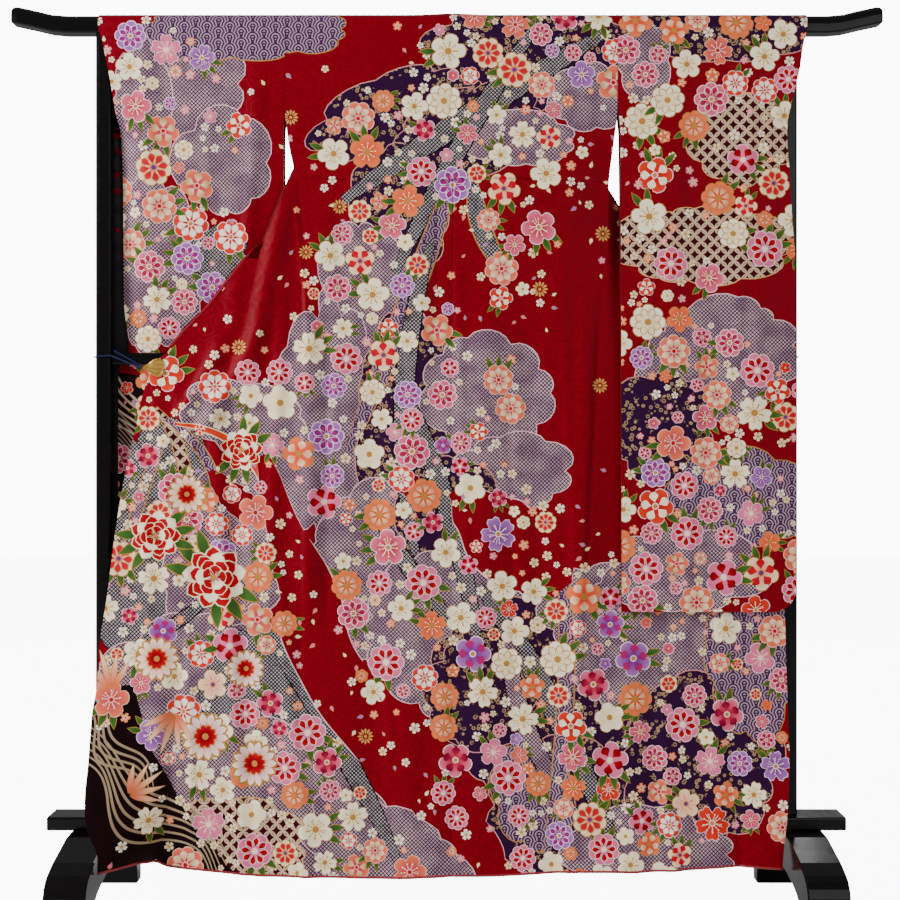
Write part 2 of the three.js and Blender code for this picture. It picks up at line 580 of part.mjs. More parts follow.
/** An upright square post with rounded edges, from the low beam to the top bar. */
function post(name, x) {
  const top = BAR.low - GAP;
  const rings = [[POST.bottom, 1], [POST.bottom + 1, 0], [top - 1, 0], [top, 1]].map(([z, inset]) => {
    const half = POST.half - inset;
    const section = roundedBox([x - half, -half], [x + half, half], 8 - inset, 4);
    return section.map(([px, py]) => new THREE.Vector3(px, py, z));
  });
  loft(name, rings, LACQUER);
}

// A foot's upper outline: distance from its middle, height.
const FOOT_TOP = { columns: ['z', 'h'], rows: [[226, 92], [223, 104], [214, 122], [196, 134],
  [161, 147], [117, 157], [70, 168], [34.6, 169.7], [0, 169.7]] };

/** A foot across the stand: curved above, arched beneath, flat only on its two toes. */
function foot(name, x) {
  const outline = [];
  const half = [34.6, 70, 117, 161, 196, 208, 218, 224];
  for (const y of [...half.map((value) => -value).reverse(), ...half]) {
    outline.push([y, look(FOOT_TOP, 'h', Math.abs(y))]);
  }
  const under = [[225, 60], [225, 1.5], [223, 0], [192, 0], [187, 24], [178, 48], [162, 68],
    [138, 81], [110, 89], [67, 98], [22, 101]];
  outline.push(...under, ...under.map(([y, z]) => [-y, z]).reverse());
  const shape = new THREE.Shape(outline.map(([y, z]) => new THREE.Vector2(y, z)));
  const bevel = 2.5;
  const geometry = new THREE.ExtrudeGeometry(shape, { depth: FOOT.width - 2 * bevel, steps: 1,
    bevelEnabled: true, bevelThickness: bevel, bevelSize: bevel, bevelOffset: -bevel, bevelSegments: 1 });
  const start = x - FOOT.width / 2 + bevel;
  geometry.applyMatrix4(new THREE.Matrix4().set(0, 0, 1, start, 1, 0, 0, 0, 0, 1, 0, 0, 0, 0, 0, 1));
  const mesh = new THREE.Mesh(geometry, new THREE.MeshStandardMaterial(LACQUER));
  mesh.name = name;
  part.add(mesh);
}

topBar();
post('post_left', POST.left);
post('post_right', POST.right);
straightBar('mid_bar', POST.left + POST.half + GAP, POST.right - POST.half - GAP,
  [-MID_BAR.half, MID_BAR.low], [MID_BAR.half, MID_BAR.high], 3);
straightBar('low_beam', BEAM.left, BEAM.right, [-BEAM.half, BEAM.low], [BEAM.half, BEAM.high], 4);
foot('foot_left', -(FOOT.inner + FOOT.width / 2));
foot('foot_right', FOOT.inner + FOOT.width / 2);

// ---- the two clips with their cords ------------------------------------------------------------

/** A sprung clip: a ribbed fan in front, a plate behind, and a bridge past the cloth's edge. */
function clip(name, wear, z) {
  const s = wear.sign;
  const edge = look(wear.edge, 'x', z);
  const y = onFront(wear, edge, z).y;
  const place = (out, depth, up) => new THREE.Vector3(edge + s * out, y + depth, z + up);
  const stations = [[-20, 3], [-19, 12], [-13, 18], [-6, 18], [0, 16], [5, 12], [9, 8], [13, 6], [17, 5]];
  const ribs = 8;
  const ring = (out, half, near, far, rib = 0.9) => {
    const front = steps(ribs).map((t) => {
      const raised = Math.round(t * ribs) % 2 ? rib : 0;
      return place(out, -near - raised, mix(half, -half, t));
    });
    return [...front, place(out, -far, -half), place(out, -far, half)];
  };
  const rings = stations.map(([out, half]) => ring(out, half, 4.2, 1.6));
  rings.push(ring(18, 4.5, 4.2, -2), ring(20, 4, 3, -3.2));
  const plate = [[14, 7], [-10, 7]].map(([out, half]) => ring(out, half, -1.6, -3.4, 0));
  loft(name, s < 0 ? rings.reverse() : rings, GOLD);
  loft(`${name}_plate`, s < 0 ? plate : plate.reverse(), GOLD);
}

/** A thin cord from the clip round its post and back. */
function cord(name, wear, postX) {
  const s = wear.sign;
  const edge = look(wear.edge, 'x', 1058);
  const y = onFront(wear, edge, 1058).y;
  const start = edge + s * 22.5;
  const r = 17.6;
  const around = [[-0.9, -1.05, 1082], [-0.3, -1.06, 1081.5], [0.6, -1.06, 1080], [1.02, -0.75, 1079.5],
    [1.08, 0, 1080], [1.02, 0.75, 1082], [0.6, 1.06, 1084], [-0.3, 1.06, 1088], [-0.95, 0.85, 1092],
    [-1.1, 0.2, 1093], [-1.12, -0.5, 1092.5]];
  const path = [new THREE.Vector3(start, y - 1, 1057), new THREE.Vector3(start + s * 8, y - 0.5, 1060)];
  for (const [a, b, z] of around) path.push(new THREE.Vector3(postX + s * a * r, b * r, z));
  path.push(new THREE.Vector3(postX - s * 27, Math.min(-r * 0.9, y + 3), 1089));
  path.push(new THREE.Vector3(start + s * 9, y + 2.5, 1066));
  path.push(new THREE.Vector3(start, y + 2.5, 1062.5));
  tube(name, path, 1.4, NAVY);
}

clip('clip_left', LEFT, 1058);
clip('clip_right', RIGHT, 1058);
cord('cord_left', LEFT, POST.left);
cord('cord_right', RIGHT, POST.right);

export default part;
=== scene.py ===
import math
from functools import partialmethod

import bpy
import numpy as np
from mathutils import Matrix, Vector
from mathutils.geometry import delaunay_2d_cdt


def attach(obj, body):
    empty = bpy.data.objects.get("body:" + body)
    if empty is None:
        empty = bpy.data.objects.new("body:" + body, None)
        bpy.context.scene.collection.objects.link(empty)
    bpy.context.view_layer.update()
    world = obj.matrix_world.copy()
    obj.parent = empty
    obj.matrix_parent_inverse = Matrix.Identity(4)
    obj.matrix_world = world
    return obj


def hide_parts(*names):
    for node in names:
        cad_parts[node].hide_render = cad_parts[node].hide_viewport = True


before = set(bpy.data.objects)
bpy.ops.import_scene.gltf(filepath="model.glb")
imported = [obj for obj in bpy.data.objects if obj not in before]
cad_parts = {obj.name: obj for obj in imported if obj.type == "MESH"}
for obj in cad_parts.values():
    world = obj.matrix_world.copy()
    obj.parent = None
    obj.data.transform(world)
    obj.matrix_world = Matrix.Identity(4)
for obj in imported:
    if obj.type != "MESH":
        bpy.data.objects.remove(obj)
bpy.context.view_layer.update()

# ---------------------------------------------------------------- sizes, in millimetres
CLOTH = 2.0
GAP = 0.3
CENTRE = 9.6
NECK_HALF = 89.0
NECK_DROP = 80.0
NECK_START = 8.0
COLLAR = 52.0
SLEEVE_BOTTOM = 590.0
CUFF_END = 1500.0
BAR_DEPTH, SPRING, BAR_TOP = 16.9, 1722.0, 1741.0
CLEAR = CLOTH / 2 + GAP + 0.1
TURN_START = {-1: 1500.0, 1: 1520.0}      # where each front starts to turn at its side opening
QUARTER = 30.5
CREST = SPRING + QUARTER
SKIN = 0.9                  # half the thickness of the shown cloth
SLEEVE_CORNER = 45.0        # radius of a sleeve's lower outer corner
POST_BACK = 17.8            # how far back a sleeve lies behind the left post
TURN_TIGHT, TURN_LOOSE = 2.5, 5.0      # radius of a front's turn, at the side opening and lower down
COLLAR_TURN = 5.0           # radius of the collar's turn
ROLL = 2.5                  # radius of the hem rolls
WALK = 0.4                  # step for the slope of a surface


def mix(a, b, t):
    return a + (b - a) * t


def unit(vectors):
    return vectors / np.maximum(np.linalg.norm(vectors, axis=-1, keepdims=True), 1e-9)


def ease(t):
    t = np.clip(t, 0, 1)
    return t * t * (3 - 2 * t)


class Table:
    """Named columns over a first column that only falls or only rises, read by smooth interpolation."""

    def __init__(self, columns, rows):
        data = np.array(sorted(rows), float)
        self.key = data[:, 0]
        self.columns = {}
        for name, values in zip(columns[1:], data.T[1:]):
            slope = np.diff(values) / np.diff(self.key)
            tangent = np.concatenate([slope[:1], np.zeros(len(values) - 2), slope[-1:]])
            a, b = slope[:-1], slope[1:]
            same = a * b > 0
            tangent[1:-1][same] = 2 * a[same] * b[same] / (a[same] + b[same])
            self.columns[name] = (values, tangent)

    def __call__(self, name, t):
        t = np.clip(np.asarray(t, float), self.key[0], self.key[-1])
        i = np.clip(np.searchsorted(self.key, t, side="right") - 1, 0, len(self.key) - 2)
        values, tangent = self.columns[name]
        h = self.key[i + 1] - self.key[i]
        s = (t - self.key[i]) / h
        low = (1 + 2 * s) * (1 - s) ** 2 * values[i] + s * (1 - s) ** 2 * h * tangent[i]
        return low + s * s * (3 - 2 * s) * values[i + 1] + s * s * (s - 1) * h * tangent[i + 1]


class Side:
    """One half of the body: the edges and depths of its back, front and overlap panel."""

    def __init__(self, sign, seam_top, crossing, clip_top, clear_by, shoulder, tables):
        self.sign, self.seam_top, self.crossing, self.clip_top = sign, seam_top, crossing, clip_top
        self.clear_by, self.shoulder = clear_by, shoulder
        for name, (columns, rows) in tables.items():
            setattr(self, name, Table(columns, rows))


LEFT = Side(-1, 1438, 1304, 1086, None, -312, {
    "seam": (("z", "x"), [(1722, -311.8), (1560, -311.8), (1507, -307), (1476, -302), (1438, -294),
             (1390, -288), (1255, -277), (900, -279), (500, -281), (90, -284)]),
    "fold": (("z", "x"), [(1438, -297), (1407, -311), (1387, -321), (1338, -340), (1302, -355.6),
             (1292, -363), (1258, -400), (1213, -434), (1188, -454), (1150, -488), (1131, -507),
             (1084, -548)]),
    "crease": (("z", "x"), [(1302, -355.6), (1277, -360), (1240, -367), (1190, -377), (1142, -386),
               (1113, -398), (1060, -427), (1015, -454), (990, -466), (960, -475), (921, -481),
               (612, -494), (558, -502), (383, -520), (290, -528), (141, -545), (120, -554)]),
    "edge": (("z", "x"), [(1084, -548), (1035, -575), (1002, -586), (967, -593), (933, -600),
             (862, -617), (785, -631), (710, -642), (612, -654), (556, -663), (503, -669),
             (460, -668), (390, -674), (312, -674), (269, -675), (217, -668), (190, -659),
             (168, -645), (152, -639.5), (120, -639)]),
    "hem": (("x", "z"), [(0, 90), (-130, 85.6), (-284, 92), (-356, 94.5), (-414, 100), (-478, 107),
            (-531, 114), (-553, 124), (-586, 130), (-625, 128.5), (-645, 126)]),
    "depth": (("z", "seam", "crease", "edge"), [(1722, 18.4, 24, 24), (1600, 23, 24, 24),
              (700, 25, 25, 25), (503, 28, 27, 30), (460, 29, 30, 40), (390, 31, 35, 60),
              (312, 36, 43, 85), (269, 39, 47, 100), (217, 43, 52, 130), (175, 47, 55, 145),
              (150, 50, 57, 152), (90, 56, 62, 158)]),
    "side": (("z", "x", "y"), [(1722, -312, 18.4), (1640, -312, 21), (1545, -312, 22),
             (1510, -300, 18), (1483, -290, 6), (1460, -288, -8), (1447, -291, -19),
             (1438, -294, -24)]),
    "inner": (("z", "x", "y", "h"), [(1664, -80, 20, 1664), (1600, -88, 24, 1603),
              (1540, -108, 27, 1548), (1490, -140, 28, 1500), (1438, -190, 25, 1440),
              (1390, -247, 13, 1385), (1345, -308, -12, 1335), (1304, -349, -14, 1304)]),
})
RIGHT = Side(1, 1400, 1297, 1086, 337, 328.6, {
    "seam": (("z", "x"), [(1722, 328.6), (1560, 328.2), (1532, 326), (1490, 321), (1442, 315),
             (1400, 311), (1261, 302), (508, 263), (175, 255), (90, 254)]),
    "fold": (("z", "x"), [(1400, 314), (1377, 333), (1297, 394), (1210, 471), (1084, 577)]),
    "crease": (("z", "x"), [(1297, 394), (1270, 399), (1190, 412), (1110, 430), (1020, 470),
               (930, 495), (600, 508), (380, 528), (120, 556)]),
    "edge": (("z", "x"), [(1084, 577), (1035, 596), (967, 615), (900, 626), (609, 650), (318, 655),
             (200, 645), (150, 637), (100, 632)]),
    "hem": (("x", "z"), [(556, 112), (470, 106), (385, 101), (254, 99), (120, 92), (60, 90), (0, 90)]),
    "depth": (("z", "seam", "crease", "edge"), [(1722, 18.4, -12, -12), (1600, 22, -12, -12),
              (1500, 20, -12, -12), (1400, 11, -12, -12), (1377, 12, -12, -12), (1297, 15, -2, -2),
              (1210, 19, 9, 9), (1100, 21, 14.5, 14.5), (700, 25, 16, 18.5), (503, 28, 19, 20),
              (300, 35, 31, 40), (217, 43, 42, 58), (175, 47, 47, 66), (90, 53, 56, 78)]),
    "side": (("z", "x", "y"), [(1722, 328.8, 18.4), (1600, 328.6, 21), (1560, 327, 22),
             (1530, 317, 20), (1500, 306, 14), (1470, 302, 4), (1440, 303, -4), (1412, 308, -9),
             (1400, 311, -11)]),
    "inner": (("z", "x", "y", "h"), [(1664, 99, 20, 1664), (1600, 106, 24, 1603),
              (1540, 124, 27, 1548), (1490, 152, 28, 1500), (1430, 205, 28, 1440),
              (1380, 262, 25, 1385), (1335, 335, 18, 1330), (1297, 388, 12, 1297)]),
})
MIDDLE = Table(("z", "y"), [(1722, 18.4), (1600, 23), (700, 25), (503, 28), (300, 33.5), (200, 39), (90, 46)])


class Sleeve:
    def __init__(self, sign, inner, outer, depth, shoulder):
        self.sign, self.shoulder = sign, shoulder
        self.inner = Table(("z", "x"), inner)
        self.outer = Table(("z", "x", "back"), outer)
        self.depth = Table(("z", "front", "back", "cuff"), depth)


SLEEVE_LEFT = Sleeve(-1, [(1722, -312.3), (1560, -312.3), (1507, -316), (1400, -316), (590, -306)],
    [(1742, -673, -673), (1715, -672, -672), (1692, -665, -667), (1624, -651, -657),
     (1551, -640, -655), (1513, -633, -655), (1385, -630, -655), (1191, -630, -655),
     (1092, -621, -655), (1066, -638, -655), (1032, -641, -655), (800, -642, -655), (590, -640, -655)],
    [(1722, -18.4, 18.4, 18.4), (1690, -21, 21, 21), (1500, -9, 22, 22), (1300, 2, 23, 23),
     (1100, 12, 24, 24), (590, 12, 24, 24)], -312.3)
SLEEVE_RIGHT = Sleeve(1, [(1722, 329.2), (1560, 329.2), (1507, 333), (590, 334)],
    [(1742, 695, 692), (1710, 693, 686), (1676, 685, 668), (1635, 679, 645), (1610, 673, 639),
     (1565, 662, 637), (1532, 655, 638), (1500, 654, 650), (1440, 658, 658), (1327, 664, 664),
     (1269, 668, 668), (590, 669, 669)],
    [(1722, -18.4, 18.4, 18.4), (1640, -23, 17, 21), (1600, -24, 14, 14), (1500, -26, 6, -19),
     (1400, -28, -2, -20), (1300, -31, -10, -21), (1200, -33, -17, -22), (1100, -36, -24, -26),
     (590, -38, -27, -28)], 329.2)


# ---------------------------------------------------------------- the cloth's surfaces
# Soft folds, listed one by one: where they cross a height of 900, slant, width, size towards the front,
# and the heights between which they show.
BODY_FOLDS = [
    (-268, 0.0, 21, 9.0, 640, 1180), (-230, 0.0, 9, -3.5, 640, 1150),
    (-150, -0.02, 36, -5.0, 120, 1250), (-414, 0.215, 22, 12.0, 1090, 1400),
    (-474, 0.215, 26, 6.0, 1090, 1330), (-490, 0.56, 15, 8.0, 940, 1090),
    (-546, 0.56, 15, 6.0, 950, 1090), (-246, -0.091, 5, 2.6, 1200, 1400),
    (72, 0.015, 30, 5.5, 200, 1400), (168, -0.05, 24, -5, 90, 1200), (-58, 0.02, 30, 4.4, 90, 1500),
    (-410, -0.06, 18, -5, 300, 1180), (-445, -0.07, 15, 5, 150, 1000), (-592, -0.06, 16, 4, 350, 900),
    (332, -0.03, 24, 4, 90, 1100), (432, 0.05, 22, -4, 90, 1000), (-330, 0.05, 13, 4.4, 480, 1240),
    (30, -0.03, 10, 2.4, 700, 1560), (236, -0.04, 11, 3.0, 500, 1380), (-110, 0.0, 9, 2.2, 300, 900),
    (122, -0.02, 9, -2.4, 250, 1000), (545, 0.04, 18, 4, 150, 800), (262, 0.02, 19, 7, 560, 1180),
    (-520, 0.05, 16, 5, 130, 560), (-350, -0.10, 17, 5.5, 110, 700), (10, 0.04, 20, 4.5, 90, 520),
    (384, -0.06, 14, 5, 90, 560), (-508, -0.03, 8, 3.2, 180, 760), (-486, -0.30, 12, 3.6, 720, 1060),
    (-440, -0.52, 11, 2.8, 800, 1070), (-390, -0.05, 9, 2.4, 110, 640),
    (-548, -0.11, 12, 3.0, 640, 1040), (200, 0.02, 16, 3.6, 1180, 1640),
    (-190, -0.03, 18, -3.6, 1200, 1660), (-30, 0.03, 13, -2.6, 900, 1400),
]
SLEEVE_FOLDS = [
    (-560, -0.03, 18, 4.6, 700, 1700), (-470, 0.04, 26, -3.2, 900, 1600),
    (-430, 0.10, 13, 3.6, 1180, 1640), (-390, 0.02, 14, 2.6, 600, 1640),
    (-520, 0.10, 12, 2.0, 1250, 1720), (420, 0.03, 22, 3.2, 650, 1660),
    (505, -0.05, 28, -3.4, 600, 1500), (540, 0.07, 13, 4.0, 1100, 1640),
    (470, 0.05, 14, 4.2, 640, 1150), (590, 0.02, 17, 3.0, 620, 1400), (455, -0.09, 11, 1.8, 1200, 1700),
    (630, 0.03, 11, -2.2, 900, 1560), (375, 0.04, 10, 1.9, 700, 1250),
]


def folds(rows, x, z):
    total = np.zeros(np.broadcast(x, z).shape)
    for at, slant, width, size, low, high in rows:
        show = ease((z - low + 120) / 160) * ease((high + 100 - z) / 200)
        total = total + size * show * np.exp(-(((x - at - slant * (z - 900)) / width) ** 2))
    return total


def front_depth(side, x, z):
    out = side.sign * x
    seam = side.sign * side.seam("x", z)
    crease = np.maximum(side.sign * side.crease("x", z), seam + 1)
    edge = np.maximum(side.sign * side.edge("x", z), crease + 1)
    at_seam, at_crease, at_edge = (side.depth(n, z) for n in ("seam", "crease", "edge"))
    back = mix(MIDDLE("y", z), at_seam, ease(1 - (seam - out) / 90))
    reach = side.clear_by if side.clear_by else crease
    front = mix(at_seam, at_crease, ease((out - seam) / np.maximum(reach - seam, 12)))
    t = np.clip((out - crease) / (edge - crease), 0, 1)
    wing = mix(at_crease, at_edge, 1 - (1 - t) ** 1.4)
    return -np.where(out <= seam, back, np.where(out <= crease, front, wing))


def tuck_line(x):
    return 1419 + 3 * np.sin(x / 60)


def tuck(x, z):
    """The waist tuck across the back: the upper cloth stands a little over the lower."""
    above = z - tuck_line(x)
    middle = ease((x + 110) / 50) * ease((200 - x) / 50)
    show = ease((x + 292) / 20) * ease((306 - x) / 20) * (0.45 + 0.55 * middle)
    return show * 4.6 * np.exp(-np.maximum(above, 0) / 26) * ease(above / 1.2)


def on_front(side, x, z):
    y = front_depth(side, x, z)
    room = np.clip((1470 - z) / 110, 0, 1) if side.sign < 0 else np.clip((1300 - z) / 200, 0, 1)
    y = y - folds(BODY_FOLDS, x, z) * room
    seam = np.exp(-((x - CENTRE) / 5.0) ** 2) * ease((1690 - z) / 60)
    y = y + 1.2 * seam
    side_seam = np.exp(-((x - side.seam("x", z)) / 6.0) ** 2) * ease((side.seam_top - z) / 60)
    y = y + 1.6 * side_seam
    on_back = np.where(side.sign * x < side.sign * side.seam("x", z), 1.0, 0.0)
    return np.stack([x, y - tuck(x, z) * on_back, z], -1)


def over_bar(x, angle):
    hump = 3 * np.exp(-(((x - CENTRE) / 45) ** 2)) * np.sin(angle)
    rise = (BAR_TOP - SPRING + CLEAR) * np.sin(angle) + hump
    y = -(BAR_DEPTH + CLEAR) * np.cos(angle)
    return np.stack(np.broadcast_arrays(x, y, SPRING + rise), -1)


def neck_edge(side, past):
    t = np.clip((past - NECK_START) / NECK_DROP, 0, 1)
    arc = np.sqrt(np.maximum(1 - (1 - t) ** 2, 0))
    return CENTRE + side.sign * (GAP / 2 + (NECK_HALF - GAP / 2) * arc)


def inner_edge(side, z):
    """Point of the front's inner edge behind the bar, for the row that starts at height z."""
    z = np.asarray(z, float)
    top = side.inner.key[-1]
    deep = mix(18.4, 20, ease((SPRING - z) / 58))
    arch = np.stack(np.broadcast_arrays(neck_edge(side, QUARTER + SPRING - z), deep, z), -1)
    low = np.stack([side.inner(n, z) for n in ("x", "y", "h")], -1)
    return np.where((z > top)[..., None], arch, low)


def bend(turn, radius, length):
    """Along and up, where cloth turning back by `turn` about `radius` is after a length."""
    left = np.maximum(turn - length / radius, 0)
    straight = np.maximum(length - turn * radius, 0)
    return radius * (np.sin(turn) - np.sin(left)) + straight, radius * (np.cos(left) - np.cos(turn))


def fold_end(side, z, gap):
    """The x where the flat front ends at its fold, and the radius of its turn there."""
    s = side.sign
    radius = mix(TURN_TIGHT, TURN_LOOSE, ease((side.seam_top - z) / 60))
    fold_x = side.fold("x", np.maximum(z, side.crossing)) - s * radius
    end = mix(fold_x, side.crease("x", z), ease((side.crossing - z) / 24))
    seam = side.seam("x", z) + s * gap
    return seam + s * np.maximum(s * (end - seam), 0.5), radius


def rear_start(side, z):
    """Where the rear leaf of a front begins on the row at height z, and its turn and radius."""
    z = np.asarray(z, float)
    start = TURN_START[side.sign]
    turn_high = np.pi * ease((start - z) / (start - side.seam_top))
    high = np.stack([side.side("x", z), side.side("y", z), z], -1)
    end, radius_low = fold_end(side, z, GAP)
    low = on_front(side, end, z)
    turn_low = np.pi * (1 - ease((side.crossing - z) / 24))
    folded = z <= side.seam_top
    point = np.where(folded[..., None], low, high)
    return point, np.where(folded, turn_low, turn_high), np.where(folded, radius_low, TURN_TIGHT)


def turn_point(side, z, share):
    point, turn, radius = rear_start(side, z)
    along, up = bend(turn, radius, share * turn * radius)
    zero = np.zeros_like(along)
    return point + np.stack([-side.sign * along, up, zero], -1)


def rear_leaf(side, z, u):
    """The rear leaf: u runs from the side edge or the fold to the inner edge."""
    a = turn_point(side, z, 1.0)
    b = inner_edge(side, z)
    slack = 16 * ease((SPRING - z) / 200) * ease((z - side.crossing - 50) / 90)
    p = a + (b - a) * u[..., None]
    waves = 2.2 * np.sin(u * 9 + z / 70) * ease((1700 - z) / 150) * ease((z - side.crossing - 60) / 80)
    p[..., 1] += slack * np.sin(np.pi * u) + waves * np.sin(np.pi * u)
    return p


def sleeve_point(sleeve, x, q, rear):
    """A point of a sleeve's front or rear layer; q is its height, or past the bar's side its length."""
    s = sleeve.sign
    z = np.minimum(q, SPRING)
    column = "back" if rear else "x"
    outer = sleeve.outer(column, z)
    inner = sleeve.inner("x", z)
    u = np.clip((x - inner) / (outer - inner), 0, 1)
    front = sleeve.depth("front", z)
    back = mix(sleeve.depth("back", z), sleeve.depth("cuff", z), ease(u))
    shut = ease((CUFF_END + 60 - z) / 60) * ease(1 - (s * (outer - x)) / 34)
    corner = SLEEVE_CORNER - np.minimum(SLEEVE_CORNER, np.maximum(s * (outer - x), 0))
    bottom = SLEEVE_BOTTOM + SLEEVE_CORNER - np.sqrt(np.maximum(SLEEVE_CORNER**2 - corner**2, 0))
    base = ease(1 - (z - bottom) / 30)
    closed = np.maximum(shut, base)
    spread = mix((back - front) / 2, (CLOTH + GAP) / 2 + 0.1, closed)
    sway = folds(SLEEVE_FOLDS, x, z) * (1 - closed) * ease((1700 - z) / 120) * 0.8
    y = (front + back) / 2 + (1 if rear else -1) * spread - sway * (0.6 if rear else 1)
    if rear and s < 0:
        y = np.maximum(y, POST_BACK * ease((-638 - x) / 9))
    low = np.stack([x, y, z], -1)
    angle = np.pi / 2 * (q - SPRING) / QUARTER
    high = over_bar(x, np.pi - angle if rear else angle)
    return np.where((q > SPRING)[..., None], high, low)


def body_point(side, x, q):
    low = on_front(side, x, np.minimum(q, SPRING))
    high = over_bar(x, np.pi / 2 * (q - SPRING) / QUARTER)
    return np.where((q > SPRING)[..., None], high, low)


def overlap_point(side, x, z):
    p = on_front(side, x, z)
    inner = side.crease("x", z)
    outer = np.where(z > side.clip_top, side.fold("x", z), side.edge("x", z))
    u = np.clip((x - inner) / (outer - inner), 0, 1)
    p[..., 1] += 1.6 * (1 - ease(u * 4))
    return p


def rear_point(side, x, q):
    """The rear upper front over x and height q, and over the bar above its side."""
    z = np.minimum(q, SPRING)
    a = turn_point(side, z, 1.0)
    b = inner_edge(side, z)
    width = b[..., 0] - a[..., 0]
    u = np.clip((x - a[..., 0]) / np.where(np.abs(width) < 1e-3, 1e-3, width), 0, 1)
    low = rear_leaf(side, z, u)
    high = over_bar(x, np.pi - np.pi / 2 * (q - SPRING) / QUARTER)
    return np.where((q > SPRING)[..., None], high, low)


# ---------------------------------------------------------------- the printed design
# Zones choose the fine woven or tie-dyed texture inside a shape of the print.
SATIN, KANOKO, NIGHT, RINGS, WAVES, SHIBORI, PRINT, INK = range(8)


def rgb(code):
    """Linear colour of a six digit code."""
    parts = np.array([int(code[i : i + 2], 16) for i in (0, 2, 4)]) / 255
    return np.where(parts <= 0.04045, parts / 12.92, ((parts + 0.055) / 1.055) ** 2.4)


class Print:
    """Shapes laid over each other, each with a colour at its heart and one at its tip."""

    def __init__(self, ground, zone, seed):
        self.random = np.random.RandomState(seed)
        self.polygons, self.heart, self.tip, self.centre, self.reach, self.zone = [], [], [], [], [], []
        self.ground = (rgb(ground), zone)

    def add(self, points, heart, tip=None, centre=None, reach=None, zone=PRINT):
        points = anticlockwise(np.asarray(points, float))
        middle = points.mean(0) if centre is None else np.asarray(centre, float)
        far = np.hypot(*(points - middle).T).max() if reach is None else reach
        self.polygons.append(points)
        self.heart.append(rgb(heart) if isinstance(heart, str) else heart)
        self.tip.append(self.heart[-1] if tip is None else rgb(tip) if isinstance(tip, str) else tip)
        self.centre.append(middle)
        self.reach.append(far)
        self.zone.append(zone)


def anticlockwise(points):
    x, y = points.T
    turning = (x * np.roll(y, -1) - y * np.roll(x, -1)).sum()
    return points if turning > 0 else points[::-1]


def loop_points(lines, spacing):
    """One closed loop through lists of points, with extra points no further apart than the spacing."""
    points = np.concatenate([np.asarray(line, float) for line in lines])
    points = points[np.concatenate([[True], np.hypot(*np.diff(points, axis=0).T) > 0.05])]
    if np.hypot(*(points[0] - points[-1])) < 0.05:
        points = points[:-1]
    out = []
    for a, b in zip(points, np.roll(points, -1, 0)):
        n = max(1, int(np.ceil(np.hypot(*(b - a)) / spacing)))
        out += [a + (b - a) * k / n for k in range(n)]
    return anticlockwise(np.array(out))


def inside(points, polygon):
    """Which points lie inside a closed polygon."""
    x, y = points.T
    hit = np.zeros(len(points), bool)
    for (x0, y0), (x1, y1) in zip(polygon, np.roll(polygon, -1, 0)):
        if y0 != y1:
            cross = ((y0 > y) != (y1 > y)) & (x < (x1 - x0) * (y - y0) / (y1 - y0) + x0)
            hit ^= cross
    return hit


def fill_points(domain, spacing, bands=()):
    """Points inside the domain on staggered rows, closer together between given heights."""
    low, high = domain.min(0), domain.max(0)
    rows, q = [], low[1] + spacing / 2
    while q < high[1]:
        step = spacing
        for a, b, fine in bands:
            if a <= q < b:
                step = fine
        rows.append(q)
        q += step * 0.87
    points = []
    for i, q in enumerate(rows):
        line = np.arange(low[0] + (0.5 if i % 2 else 0) * spacing, high[0], spacing)
        points.append(np.stack([line, np.full(len(line), q)], -1))
    points = np.concatenate(points)
    return points[inside(points, domain)]


def cut(domain, fill, design=None):
    """Triangles of the domain, with the shape of the design that is on top of each."""
    coordinates = [Vector(p) for p in domain]
    faces = [list(range(len(domain)))]
    owner = [-1]
    low, high = domain.min(0) - 1, domain.max(0) + 1
    for k, polygon in enumerate(design.polygons if design else []):
        if (polygon.max(0) < low).any() or (polygon.min(0) > high).any():
            continue
        start = len(coordinates)
        coordinates += [Vector(p) for p in polygon]
        faces.append(list(range(start, len(coordinates))))
        owner.append(k)
    coordinates += [Vector(p) for p in fill]
    found = delaunay_2d_cdt(coordinates, [], faces, 1, 1e-4, True)
    owner = np.array(owner)
    triangles, top = [], []
    for face, origins in zip(found[2], found[5]):
        if 0 in origins:
            triangles.append(face)
            top.append(owner[max(origins)])
    points = np.array([p[:] for p in found[0]])
    triangles, top = np.array(triangles), np.array(top)
    a, b, c = (points[triangles[:, i]] for i in range(3))
    area = (b[:, 0] - a[:, 0]) * (c[:, 1] - a[:, 1]) - (b[:, 1] - a[:, 1]) * (c[:, 0] - a[:, 0])
    flip = area < 0
    triangles[flip] = triangles[flip][:, ::-1]
    return points, triangles, top


